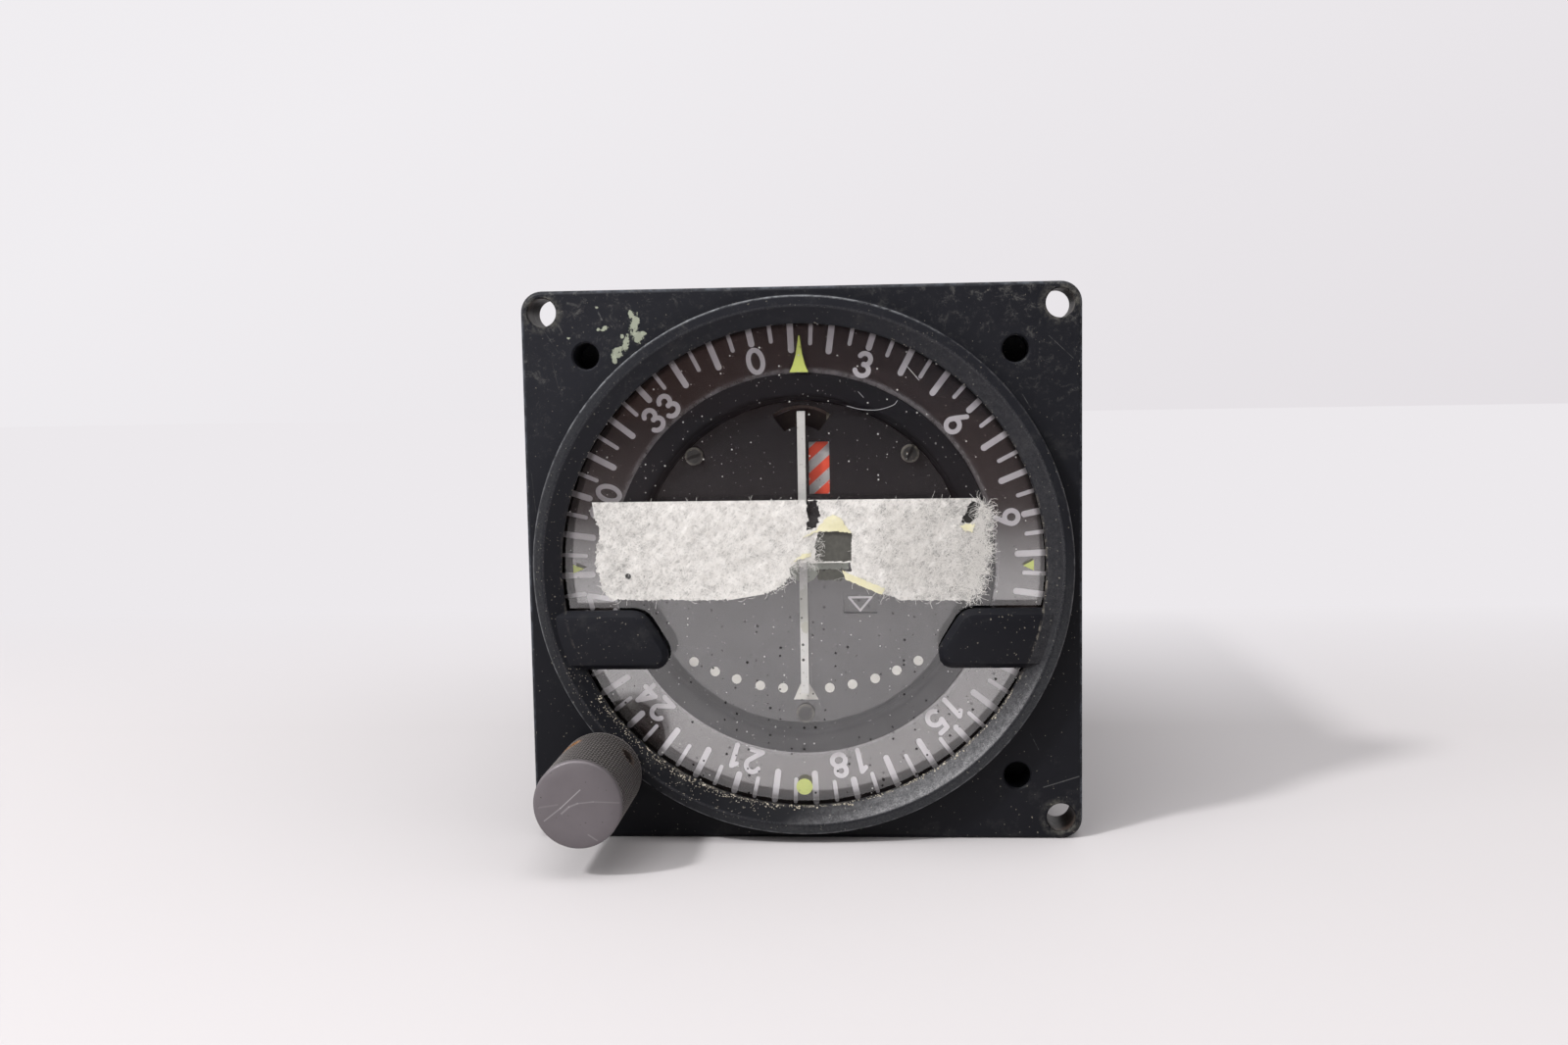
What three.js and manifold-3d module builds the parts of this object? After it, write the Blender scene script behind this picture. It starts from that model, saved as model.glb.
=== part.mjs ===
// Course select indicator: a square-flanged panel instrument with a raised bezel ring, a turning
// compass card, a swinging deviation pointer, two signal flags and a knurled course knob.
// Millimetres, +Z up. The dial faces -Y, and depth into the case runs along +Y.
// The origin is the middle of the footprint, on the surface that the flange stands on.

import * as THREE from 'three';
import { mergeVertices } from 'three/addons/utils/BufferGeometryUtils.js';
import Module from 'manifold-3d';

const wasm = await Module();
wasm.setup();

// Clearances
const seatGap = 0.3;
const runningGap = 0.3;
const cutOverrun = 1;

// Smoothness of round shapes, as counts of flat sides
const largeSides = 72;
const mediumSides = 28;
const smallSides = 14;
const cornerSteps = 4;

// Raised bezel ring and its sloped inner wall
const ringDiameter = 79.2;
const ringHeight = 3.4;
const ringEdgeBevel = 0.3;
const ringWall = 1.7;
const rimWidth = 1.5;
const slopeWidth = 4;
const lensSeatHeight = 1.3;
const lipThickness = 0.4;

// Flange
const flangeMargin = 1.45;
const flangeThickness = 8.8;
const flangeCornerRadius = 3.1;
const flangeEdgeBevel = 0.5;
const cornerHoleInset = 3.15;
const cornerHoleDiameter = 4.2;
const panelHoleInset = 9.62;
const panelHoleDiameter = 3.9;
const panelHoleDepth = 7.2;

// Ears of the bezel over the lower part of the window, their front faces as shares of the opening's radius
const earHeight = 1.6;
const earSlope = 0.9;
const earSlopeDepth = 1.1;
const earShares = [[1.01, -0.199], [0.674, -0.199], [0.579, -0.354], [0.596, -0.396], [0.93, -0.396]];
const earCornerShare = 0.012;

// Lugs behind the flange that the case is screwed to
const lugThickness = 2;
const lugLength = 8;
const lugDepth = 4.5;
const lugPlaceShare = 0.487;

// Window
const lensThickness = 1.6;
const lensEdgeGap = 0.4;
const gasketThickness = 0.4;
const gasketWidth = 1.5;
const retainerWidth = 0.45;
const retainerDepth = 1.8;

// Masking tape across the window, its torn outline as shares of its length and width
const tapeLengthShare = 0.829;
const tapeWidth = 15.6;
const tapeThickness = 0.2;
const tapeCentreShares = [-0.045, 0.059];
const tapeOutlineShares = [
  [-0.5, 0.5], [0.5, 0.45], [0.49, 0.05], [0.48, -0.5], [0.27, -0.49], [0.14, -0.27], [0.05, -0.17],
  [-0.02, -0.2], [-0.05, -0.38], [-0.14, -0.46], [-0.46, -0.46], [-0.49, -0.1],
];
const tapeTearShares = [[0.055, 0.18], [0.145, 0.17], [0.14, -0.08], [0.06, -0.08]];

// Compass card and its gear
const cardEdgeGap = 1.2;
const cardWidth = 10.5;
const cardThickness = 1;
const cardGearTeeth = 80;
const cardGearThickness = 2.4;

// Fixed dark ring inside the card: the drum's front flange, on which the card's gear runs
const maskOverlap = 2.25;
const maskWidth = 3.85;
const maskThickness = 0.6;
const lensToMask = 0.4;
const drumWall = 1;
const drumLedgeWidth = 0.6;
const drumLedgeThickness = 0.8;
const cardRetainerLip = 2;
const cardRetainerThickness = 0.8;

// Dial plate inside the drum, its windows and screws placed by shares of its radius
const dialThickness = 0.8;
const dialRecess = 2;
const dialScrewShares = [[-0.6626, 0.6708], [0.6626, 0.6708], [0, -0.9342]];
const dialScrewHeadDiameter = 2.8;
const dialScrewHeadThickness = 0.7;
const dialScrewShankDiameter = 1.4;
const dialScrewLength = 4.4;
const dialPostDiameter = 2.8;

// Deviation pointer, which swings about a pivot above the dial's centre
const pivotShare = 0.6667;
const pointerTopShare = 0.938;
const pointerBottomShare = 0.807;
const pointerWidth = 1.2;
const pointerThickness = 0.3;
const pointerDialGap = 0.7;
const pointerPostLength = 1.3;
const pointerPostWidth = 0.8;
const pointerArmThickness = 0.25;
const pointerHubDiameter = 2.4;
const pivotPinDiameter = 1;
const pivotPinDepth = 2.6;
const slotMargin = 0.9;
const slotHalfAngle = THREE.MathUtils.degToRad(36);

// Pointer meter: moving coil in a ring magnet with a fixed core
const magnetEdgeGap = 0.6;
const magnetCoreShare = 0.427;
const magnetGapShare = 0.693;
const magnetDepth = 4.2;
const magnetWindowHalfAngle = THREE.MathUtils.degToRad(50);
const magnetFootWidth = 3;
const magnetFootDepth = 1;
const coilReachShare = 0.307;
const coilWire = 0.9;
const coilWidth = 1.6;
const coilBarThickness = 0.4;

// Warning flag behind a window in the dial plate, and its small meter
const flagWindowShares = { left: 0.0412, right: 0.1687, bottom: 0.428, top: 0.749 };
const flagMargin = 0.3;
const flagPivotShares = [0.2675, 0.1029];
const flagArmWidth = 1;
const vaneThickness = 0.25;
const vaneHubDiameter = 2.4;
const vanePinDiameter = 0.8;
const meterDiameter = 8;
const meterBoreDepth = 3;

// To-from vane behind a second window
const signWindowShares = { left: 0.2428, right: 0.4527, bottom: -0.3169, top: -0.1893 };
const signPivotShares = [0.7202, -0.3292];
const signVaneShare = 0.5103;
const signVaneStart = THREE.MathUtils.degToRad(115);
const signVaneEnd = THREE.MathUtils.degToRad(181);

// Knob, shaft and gears at the lower left corner
const knobAxisMargin = 3.166;
const knobDiameter = 12.46;
const knobLength = 17.6;
const knobRingGap = 0.4;
const knobFaceBevel = 0.35;
const knobBoreDepth = 13.6;
const setScrewDiameter = 2;
const setScrewLength = 3;
const setScrewSocketDiameter = 0.9;
const setScrewSocketDepth = 1.2;
const setScrewSetback = 4.2;
const setScrewAngle = THREE.MathUtils.degToRad(35);
const shaftDiameter = 3.18;
const shaftTail = 1.4;
const bushingDiameter = 5.4;
const bushingHeadDiameter = 8.8;
const bushingHeadThickness = 0.7;
const clipDiameter = 6;
const clipThickness = 0.5;
const knobGearTeeth = 16;
const gearPocketWall = 2.6;
const gearPocketGap = 0.6;
const gearMeshGap = 0.05;

// Resolver and the gear pair that turns it with the card
const knobPinionTeeth = 12;
const resolverGearTeeth = 60;
const resolverPlaceShare = 0.578;
const resolverGearThickness = 1.4;
const resolverDiameterShare = 1.496;
const resolverLength = 32;
const resolverWall = 4;
const resolverShaftDiameter = 3;
const resolverRotorLength = 20;
const resolverEndLength = 5.6;

// Gear teeth, as shares of the tooth spacing and of the module
const toothRootShare = 0.27;
const toothTipShare = 0.1;
const toothHeightShare = 0.9;
const toothDepthShare = 1.2;

// Chassis
const gearPlateGap = 2.7;
const gearPlateCorner = 9;
const gearPlateThickness = 1.6;
const gearPlateSetback = 3.4;
const rodInset = 10.5;
const rodDiameter = 4;
const lampInset = 3.9;
const lampDiameter = 2.8;
const lampLength = 3.4;

// Circuit boards and what they carry
const boardGap = 1.8;
const boardCorner = 10;
const boardThickness = 1.6;
const boardPlaceShares = [0.35, 0.6];
const transformerSize = { width: 20, depth: 18, height: 16 };
const transformerPlaceShares = [-0.12, 0.16];
const capacitorDiameter = 10;
const capacitorLength = 16;
const capacitorPlaceShares = [[-0.36, -0.3], [0.36, -0.3]];

// Case, rear cover and connector
const caseInset = 1.55;
const caseCorner = 14;
const caseWall = 1.2;
const caseLength = 146.4;
const coverThickness = 2;
const caseScrewHeadDiameter = 4.4;
const caseScrewHeadThickness = 0.9;
const caseScrewShankDiameter = 2;
const caseScrewLength = 3;
const caseScrewSetback = 2.4;
const coverScrewHeadDiameter = 5;
const coverScrewHeadThickness = 1.4;
const coverScrewShankDiameter = 2.2;
const coverScrewLength = 7;
const connectorFlangeSide = 27;
const connectorFlangeThickness = 2;
const connectorFlangeCorner = 3;
const connectorShellDiameter = 24;
const connectorShellWall = 2;
const connectorShellLength = 12;
const connectorSocketDepth = 6;
const connectorInsertInside = 4;
const contactDiameter = 1.6;
const contactDepth = 2;
const contactCount = 8;
const contactCircleShare = 0.6;

// Widths that follow from the ring's diameter, from the outside in
const flangeSide = ringDiameter + 2 * flangeMargin;
const openingDiameter = ringDiameter - 2 * slopeWidth;
const boreDiameter = ringDiameter - 2 * ringWall;
const lensDiameter = boreDiameter - 2 * lensEdgeGap;
const cardDiameter = boreDiameter - 2 * cardEdgeGap;
const cardInnerDiameter = cardDiameter - 2 * cardWidth;
const maskDiameter = cardInnerDiameter + 2 * maskOverlap;
const maskInnerDiameter = maskDiameter - 2 * maskWidth;
const drumDiameter = maskInnerDiameter + 2 * drumWall;
const cardRetainerDiameter = drumDiameter + 2 * cardRetainerLip;
const dialDiameter = maskInnerDiameter - 2 * seatGap;
const dialRadius = dialDiameter / 2;
const caseSide = flangeSide - 2 * caseInset;
const caseInside = caseSide - 2 * caseWall;
const gearPlateSide = caseInside - 2 * gearPlateGap;
const boardSide = caseInside - 2 * boardGap;
const lampOffset = boreDiameter / 2 - lampInset;
const lugOffset = lugPlaceShare * flangeSide / 2;
const tapeLength = tapeLengthShare * openingDiameter;

// What lies behind the dial plate, placed by its radius
const dialPlaces = (shares) => shares.map((share) => share * dialRadius);
const dialWindow = (shares) => Object.fromEntries(
  Object.entries(shares).map(([side, share]) => [side, share * dialRadius]),
);
const pivotHeight = pivotShare * dialRadius;
const pointerTop = pointerTopShare * dialRadius;
const pointerBottom = pointerBottomShare * dialRadius;
const slotOuterRadius = pointerTop - pivotHeight + slotMargin;
const slotInnerRadius = pointerTop - pivotHeight - pointerPostLength - slotMargin;
const magnetDiameter = dialDiameter - 2 * (pivotHeight + magnetEdgeGap);
const magnetCoreDiameter = magnetCoreShare * magnetDiameter;
const magnetGapDiameter = magnetGapShare * magnetDiameter;
const coilReach = coilReachShare * magnetDiameter;
const flagWindow = dialWindow(flagWindowShares);
const flagPivot = dialPlaces(flagPivotShares);
const signWindow = dialWindow(signWindowShares);
const signPivot = dialPlaces(signPivotShares);
const signVaneRadius = signVaneShare * dialRadius;
const dialScrewPlaces = dialScrewShares.map(dialPlaces);

// Depths along the dial's axis, from the flange's front face
const lipBack = -lensSeatHeight;
const ringFront = -ringHeight;
const gasketFront = lipBack + seatGap;
const lensFront = gasketFront + gasketThickness + seatGap;
const lensBack = lensFront + lensThickness;
const maskFront = lensBack + lensToMask;
const cardFront = maskFront + maskThickness + runningGap;
const cardGearFront = cardFront + cardThickness + seatGap;
const cardGearBack = cardGearFront + cardGearThickness;
const cardRetainerFront = cardGearBack + seatGap;
const dialFront = maskFront + dialRecess;
const dialBack = dialFront + dialThickness;
const pointerBack = dialFront - pointerDialGap;
const pointerFront = pointerBack - pointerThickness;
const vaneFront = dialBack + seatGap;
const vaneBack = vaneFront + vaneThickness;
const pointerArmFront = vaneBack + runningGap;
const pointerArmBack = pointerArmFront + pointerArmThickness;
const coilFront = pointerArmBack + seatGap;
const magnetFront = coilFront + coilBarThickness + runningGap;
const magnetBack = magnetFront + magnetDepth;
const coilBack = magnetBack + runningGap + coilBarThickness;
const gearPlateFront = flangeThickness + gearPlateSetback;
const gearPlateBack = gearPlateFront + gearPlateThickness;
const meterFront = vaneBack + runningGap + seatGap;
const resolverGearFront = flangeThickness + 2 * runningGap;
const resolverGearBack = resolverGearFront + resolverGearThickness;
const knobBack = ringFront - knobRingGap;
const knobFace = knobBack - knobLength;
const caseFront = flangeThickness + seatGap;
const caseBack = caseFront + caseLength;
const coverFront = caseBack + seatGap;
const coverBack = coverFront + coverThickness;
const connectorFront = coverBack + seatGap;
const connectorBack = connectorFront + connectorFlangeThickness + connectorShellLength;

// Axes of the knob, the resolver and the long rods, and what the gears' sizes follow from
const knobAxisDistance = ringDiameter / 2 + knobAxisMargin;
const knobAxisOffset = knobAxisDistance / Math.SQRT2;
const cardGearModule = 2 * (knobAxisDistance - gearMeshGap) / (cardGearTeeth + knobGearTeeth);
const resolverAxisOffset = resolverPlaceShare * knobAxisOffset;
const resolverAxisDistance = knobAxisDistance - resolverAxisOffset * Math.SQRT2;
const resolverGearModule = 2 * (resolverAxisDistance - gearMeshGap) / (knobPinionTeeth + resolverGearTeeth);
const resolverDiameter = resolverDiameterShare * resolverAxisDistance;
const shaftBore = shaftDiameter + 2 * runningGap;
const rodSpread = caseSide / 2 - rodInset;
const rodPlaces = [[rodSpread, rodSpread], [rodSpread, -rodSpread], [-rodSpread, rodSpread]];
const knobAxis = [-knobAxisOffset, -knobAxisOffset];
const resolverAxis = [-resolverAxisOffset, -resolverAxisOffset];
const towardsCentre = Math.PI / 4;
const towardsKnob = towardsCentre + Math.PI;

// Finishes
const finishes = {
  blackPaint: { color: 0x25262a, roughness: 0.55, metalness: 0.1 },
  blackCase: { color: 0x2a2b2e, roughness: 0.6, metalness: 0.1 },
  glass: { color: 0xdfe6e4, roughness: 0.05, metalness: 0, transparent: true, opacity: 0.35 },
  rubber: { color: 0x1a1a1b, roughness: 0.9, metalness: 0 },
  tape: { color: 0xe2dfd9, roughness: 0.95, metalness: 0 },
  cardBlack: { color: 0x3a3536, roughness: 0.7, metalness: 0 },
  dialBlack: { color: 0x2d2a2b, roughness: 0.7, metalness: 0 },
  maskBlack: { color: 0x202124, roughness: 0.6, metalness: 0 },
  pointerWhite: { color: 0xd9d8d4, roughness: 0.6, metalness: 0 },
  flagRed: { color: 0xe04a38, roughness: 0.6, metalness: 0 },
  knobGrey: { color: 0x6f6a6e, roughness: 0.6, metalness: 0.3 },
  brass: { color: 0xb08d4f, roughness: 0.4, metalness: 1 },
  aluminium: { color: 0xb4b6ba, roughness: 0.45, metalness: 1 },
  steel: { color: 0x8d8f92, roughness: 0.4, metalness: 1 },
  rustySteel: { color: 0x6a4a33, roughness: 0.8, metalness: 0.6 },
  copper: { color: 0xa86a3c, roughness: 0.5, metalness: 0.8 },
  board: { color: 0x2f5d3a, roughness: 0.6, metalness: 0 },
  insulator: { color: 0x30323a, roughness: 0.6, metalness: 0 },
};

// A closed three.js geometry as a solid that can be joined and cut
function solid(geometry) {
  const bare = geometry.clone();
  bare.deleteAttribute('normal');
  bare.deleteAttribute('uv');
  const merged = mergeVertices(bare);
  const corners = merged.index.array;
  const triangles = [];
  for (let i = 0; i < corners.length; i += 3) {
    const [a, b, c] = [corners[i], corners[i + 1], corners[i + 2]];
    if (a !== b && b !== c && c !== a) triangles.push(a, b, c);
  }
  const vertProperties = merged.attributes.position.array;
  const triVerts = Uint32Array.from(outward(triangles, vertProperties));
  return new wasm.Manifold(new wasm.Mesh({ numProp: 3, vertProperties, triVerts }));
}

// The same triangles with their faces pointing out, judged by the sign of the volume they hold
function outward(triangles, points) {
  const corner = (i) => new THREE.Vector3(points[3 * i], points[3 * i + 1], points[3 * i + 2]);
  let volume = 0;
  for (let i = 0; i < triangles.length; i += 3) {
    const crossed = corner(triangles[i + 1]).cross(corner(triangles[i + 2]));
    volume += corner(triangles[i]).dot(crossed);
  }
  if (volume > 0) return triangles;
  const turned = [];
  for (let i = 0; i < triangles.length; i += 3) {
    turned.push(triangles[i], triangles[i + 2], triangles[i + 1]);
  }
  return turned;
}

// A solid's surface as a three.js geometry
function surface(body) {
  const mesh = body.getMesh();
  const geometry = new THREE.BufferGeometry();
  geometry.setAttribute('position', new THREE.BufferAttribute(mesh.vertProperties, mesh.numProp));
  geometry.setIndex(new THREE.BufferAttribute(mesh.triVerts, 1));
  geometry.computeVertexNormals();
  return geometry;
}

// A flat outline in X and Z, drawn counter-clockwise, carried along Y from one depth to another
function prism(shape, front, back, sides = cornerSteps) {
  const flat = shape.extractPoints(sides);
  if (THREE.ShapeUtils.isClockWise(flat.shape)) flat.shape.reverse();
  const outline = new THREE.Shape(flat.shape);
  outline.holes = flat.holes.map((hole) => new THREE.Path(hole));
  const geometry = new THREE.ExtrudeGeometry(outline, {
    depth: back - front,
    bevelEnabled: false,
    curveSegments: sides,
  });
  geometry.rotateX(Math.PI / 2);
  geometry.translate(0, back, 0);
  return geometry;
}

// A profile of radius and depth pairs turned about the Y axis, closed on itself
function turned(profile, sides) {
  const points = profile.map(([radius, depth]) => new THREE.Vector2(radius, depth));
  points.push(points[0].clone());
  return new THREE.LatheGeometry(points, sides);
}

function disc(diameter, front, back, sides = mediumSides) {
  return turned([[0, front], [diameter / 2, front], [diameter / 2, back], [0, back]], sides);
}

function tube(innerDiameter, outerDiameter, front, back, sides = mediumSides) {
  const inner = innerDiameter / 2;
  const outer = outerDiameter / 2;
  return turned([[inner, front], [outer, front], [outer, back], [inner, back]], sides);
}

// A cylinder along Y at a place on the dial, as a solid
function rod(diameter, front, back, [x, z], sides = smallSides) {
  return solid(disc(diameter, front, back, sides).translate(x, 0, z));
}

function box(width, depth, height, x, y, z) {
  return new THREE.BoxGeometry(width, depth, height).translate(x, y, z);
}

function roundedSquare(side, radius) {
  const half = side / 2;
  const shape = new THREE.Shape();
  shape.moveTo(half, radius - half);
  shape.lineTo(half, half - radius);
  shape.absarc(half - radius, half - radius, radius, 0, Math.PI / 2);
  shape.lineTo(radius - half, half);
  shape.absarc(radius - half, half - radius, radius, Math.PI / 2, Math.PI);
  shape.lineTo(-half, radius - half);
  shape.absarc(radius - half, radius - half, radius, Math.PI, 1.5 * Math.PI);
  shape.lineTo(half - radius, -half);
  shape.absarc(half - radius, radius - half, radius, 1.5 * Math.PI, 2 * Math.PI);
  return shape;
}

function polygon(points) {
  return new THREE.Shape(points.map(([x, z]) => new THREE.Vector2(x, z)));
}

// A ring's sector between two angles, counted from +X towards +Z
function sector(inner, outer, start, end) {
  const shape = new THREE.Shape();
  shape.absarc(0, 0, outer, start, end, false);
  shape.absarc(0, 0, inner, end, start, true);
  return shape;
}

// A spur gear's outline, with one tooth centred on the given angle
function gearShape(teeth, module, boreDiameter, toothAngle) {
  const pitchRadius = module * teeth / 2;
  const tipRadius = pitchRadius + toothHeightShare * module;
  const rootRadius = pitchRadius - toothDepthShare * module;
  const spacing = 2 * Math.PI / teeth;
  const corners = [
    [rootRadius, -toothRootShare], [tipRadius, -toothTipShare],
    [tipRadius, toothTipShare], [rootRadius, toothRootShare],
  ];
  const points = [];
  for (let tooth = 0; tooth < teeth; tooth += 1) {
    for (const [radius, share] of corners) {
      const angle = toothAngle + (tooth + share) * spacing;
      points.push([radius * Math.cos(angle), radius * Math.sin(angle)]);
    }
  }
  const shape = polygon(points);
  const bore = new THREE.Path();
  bore.absarc(0, 0, boreDiameter / 2, 0, 2 * Math.PI);
  shape.holes.push(bore);
  return shape;
}

const instrument = new THREE.Group();

function add(name, geometry, finish, [x, z] = [0, 0]) {
  const mesh = new THREE.Mesh(geometry, new THREE.MeshStandardMaterial(finishes[finish]));
  mesh.name = name;
  mesh.position.set(x, 0, z);
  instrument.add(mesh);
  return mesh;
}

// Bezel: flange, raised ring, sloped inner wall and ears, machined from one block
function bezelRing() {
  const ring = ringDiameter / 2;
  const opening = openingDiameter / 2;
  const bore = boreDiameter / 2;
  const profile = [
    [opening, lipBack], [opening, lipBack - lipThickness], [ring - rimWidth, ringFront],
    [ring - ringEdgeBevel, ringFront], [ring, ringFront + ringEdgeBevel],
    [ring, flangeThickness - cutOverrun], [bore, flangeThickness - cutOverrun], [bore, lipBack],
  ];
  return solid(turned(profile, largeSides));
}

function bezelFlange() {
  const inset = flangeSide - 2 * flangeEdgeBevel;
  const body = new THREE.ExtrudeGeometry(roundedSquare(inset, flangeCornerRadius - flangeEdgeBevel), {
    depth: flangeThickness - 2 * flangeEdgeBevel,
    bevelThickness: flangeEdgeBevel,
    bevelSize: flangeEdgeBevel,
    bevelSegments: 1,
    curveSegments: cornerSteps,
  });
  body.rotateX(Math.PI / 2);
  body.translate(0, flangeThickness - flangeEdgeBevel, 0);
  const bore = disc(boreDiameter, -cutOverrun, flangeThickness + cutOverrun, largeSides);
  return solid(body).subtract(solid(bore));
}

function bezelEar(side) {
  const scale = openingDiameter / 2;
  const corner = earCornerShare * scale;
  const points = earShares.map(([x, z]) => new THREE.Vector2(side * x * scale, z * scale));
  const shape = new THREE.Shape();
  points.forEach((point, i) => {
    const before = points[(i + points.length - 1) % points.length];
    const after = points[(i + 1) % points.length];
    const start = before.clone().sub(point).setLength(corner).add(point);
    const end = after.clone().sub(point).setLength(corner).add(point);
    if (i === 0) shape.moveTo(start.x, start.y);
    else shape.lineTo(start.x, start.y);
    shape.quadraticCurveTo(point.x, point.y, end.x, end.y);
  });
  shape.closePath();
  const geometry = new THREE.ExtrudeGeometry(shape, {
    depth: earHeight,
    bevelThickness: earSlopeDepth,
    bevelSize: earSlope,
    bevelSegments: 1,
    curveSegments: cornerSteps / 2,
  });
  const front = lipBack - earHeight;
  geometry.rotateX(Math.PI / 2);
  geometry.translate(0, front + earHeight + earSlopeDepth, 0);
  const keep = disc(openingDiameter + rimWidth, front, lipBack, largeSides);
  return solid(geometry).intersect(solid(keep));
}

function bezelLug(sideX, sideZ) {
  const inside = caseSide / 2 - caseWall - seatGap;
  const x = sideX * (inside - lugThickness / 2);
  const depth = lugDepth + cutOverrun;
  const middle = flangeThickness - cutOverrun + depth / 2;
  const body = box(lugThickness, depth, lugLength, x, middle, sideZ * lugOffset);
  const hole = disc(caseScrewShankDiameter + 2 * seatGap, -lugThickness, lugThickness, smallSides);
  hole.rotateZ(Math.PI / 2);
  hole.translate(x, caseFront + caseScrewSetback, sideZ * lugOffset);
  return solid(body).subtract(solid(hole));
}

function makeBezel() {
  let body = bezelFlange().add(bezelRing());
  for (const side of [-1, 1]) body = body.add(bezelEar(side));
  for (const sideX of [-1, 1]) {
    for (const sideZ of [-1, 1]) body = body.add(bezelLug(sideX, sideZ));
  }
  const through = flangeThickness + cutOverrun;
  const corner = flangeSide / 2 - cornerHoleInset;
  const panel = flangeSide / 2 - panelHoleInset;
  for (const [sideX, sideZ] of [[-1, 1], [1, 1], [1, -1]]) {
    const cornerPlace = [sideX * corner, sideZ * corner];
    const panelPlace = [sideX * panel, sideZ * panel];
    body = body.subtract(rod(cornerHoleDiameter, -cutOverrun, through, cornerPlace, mediumSides));
    body = body.subtract(rod(panelHoleDiameter, -cutOverrun, panelHoleDepth, panelPlace));
  }
  const gearTip = cardGearModule * (knobGearTeeth / 2 + toothHeightShare);
  body = body.subtract(rod(2 * (gearTip + gearPocketGap), gearPocketWall, through, knobAxis, mediumSides));
  body = body.subtract(rod(bushingDiameter + 2 * seatGap, -cutOverrun, through, knobAxis, mediumSides));
  add('bezel', surface(body), 'blackPaint');
}

// Window glass, the gasket in front of it and the sleeve that holds it from behind
function makeWindow() {
  add('lens', disc(lensDiameter, lensFront, lensBack, largeSides / 2), 'glass');
  const gasketBack = gasketFront + gasketThickness;
  const gasket = tube(lensDiameter - 2 * gasketWidth, lensDiameter, gasketFront, gasketBack);
  add('lens_gasket', gasket, 'rubber');
  const outer = boreDiameter - 2 * seatGap;
  const front = lensBack + seatGap;
  const retainer = tube(outer - 2 * retainerWidth, outer, front, front + retainerDepth, largeSides / 2);
  add('lens_retainer', retainer, 'aluminium');
}

// Strip of masking tape stuck across the glass, torn at its middle
function makeTape() {
  const [centreX, centreZ] = tapeCentreShares.map((share) => share * openingDiameter / 2);
  const place = ([x, z]) => [centreX + x * tapeLength, centreZ + z * tapeWidth];
  const shape = polygon(tapeOutlineShares.map(place));
  shape.holes.push(polygon(tapeTearShares.map(place)));
  const back = lensFront - seatGap;
  add('masking_tape', surface(solid(prism(shape, back - tapeThickness, back))), 'tape');
}

// Turning card and the gear ring behind it
function makeCard() {
  const back = cardFront + cardThickness;
  add('course_card', tube(cardInnerDiameter, cardDiameter, cardFront, back, largeSides / 2), 'cardBlack');
  const shape = gearShape(cardGearTeeth, cardGearModule, drumDiameter + 2 * runningGap, towardsKnob);
  add('card_gear', surface(solid(prism(shape, cardGearFront, cardGearBack, largeSides / 4))), 'aluminium');
}

// Drum with the dark ring as its front flange, a ledge for the dial, and the ring that keeps the card on
function makeDrum() {
  const inner = maskInnerDiameter / 2;
  const outer = drumDiameter / 2;
  const mask = maskDiameter / 2;
  const ledge = inner - drumLedgeWidth;
  const ledgeFront = dialBack + seatGap;
  const ledgeBack = ledgeFront + drumLedgeThickness;
  const profile = [
    [inner, maskFront], [mask, maskFront], [mask, maskFront + maskThickness],
    [outer, maskFront + maskThickness], [outer, cardGearBack], [inner, cardGearBack],
    [inner, ledgeBack], [ledge, ledgeBack], [ledge, ledgeFront], [inner, ledgeFront],
  ];
  add('dial_housing', turned(profile, largeSides / 2), 'maskBlack');
  const back = cardRetainerFront + cardRetainerThickness;
  const retainer = tube(maskInnerDiameter, cardRetainerDiameter, cardRetainerFront, back);
  add('card_retainer', retainer, 'aluminium');
}

function windowPath({ left, right, bottom, top }) {
  return polygon([[left, bottom], [right, bottom], [right, top], [left, top]]);
}

// Dial plate with the pointer's arched slot and two windows, its screws and the posts they enter
function makeDial() {
  const shape = new THREE.Shape();
  shape.absarc(0, 0, dialDiameter / 2, 0, 2 * Math.PI);
  shape.holes.push(windowPath(flagWindow), windowPath(signWindow));
  const middle = Math.PI / 2;
  const arch = sector(slotInnerRadius, slotOuterRadius, middle - slotHalfAngle, middle + slotHalfAngle);
  const slot = prism(arch, dialFront - cutOverrun, dialBack + cutOverrun, cornerSteps);
  slot.translate(0, 0, pivotHeight);
  let plate = solid(prism(shape, dialFront, dialBack, largeSides / 4)).subtract(solid(slot));
  const holeDiameter = dialScrewShankDiameter + 2 * seatGap;
  for (const place of dialScrewPlaces) {
    plate = plate.subtract(rod(holeDiameter, dialFront - cutOverrun, dialBack + cutOverrun, place));
  }
  add('dial_plate', surface(plate), 'dialBlack');
  const head = dialScrewHeadDiameter / 2;
  const shank = dialScrewShankDiameter / 2;
  const headBack = dialFront - seatGap;
  const headFront = headBack - dialScrewHeadThickness;
  const tip = headBack + dialScrewLength;
  const screw = [
    [0, headFront], [head, headFront], [head, headBack], [shank, headBack], [shank, tip], [0, tip],
  ];
  const postFront = dialBack + 2 * seatGap + drumLedgeThickness;
  const postBack = gearPlateFront - seatGap;
  const post = dialPostDiameter / 2;
  const bore = shank + seatGap;
  const boreEnd = tip + cutOverrun;
  const profile = [
    [0, boreEnd], [bore, boreEnd], [bore, postFront], [post, postFront], [post, postBack], [0, postBack],
  ];
  dialScrewPlaces.forEach((place, i) => {
    add(`dial_screw_${i + 1}`, turned(screw, smallSides), 'steel', place);
    add(`dial_post_${i + 1}`, turned(profile, smallSides), 'brass', place);
  });
}

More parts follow.
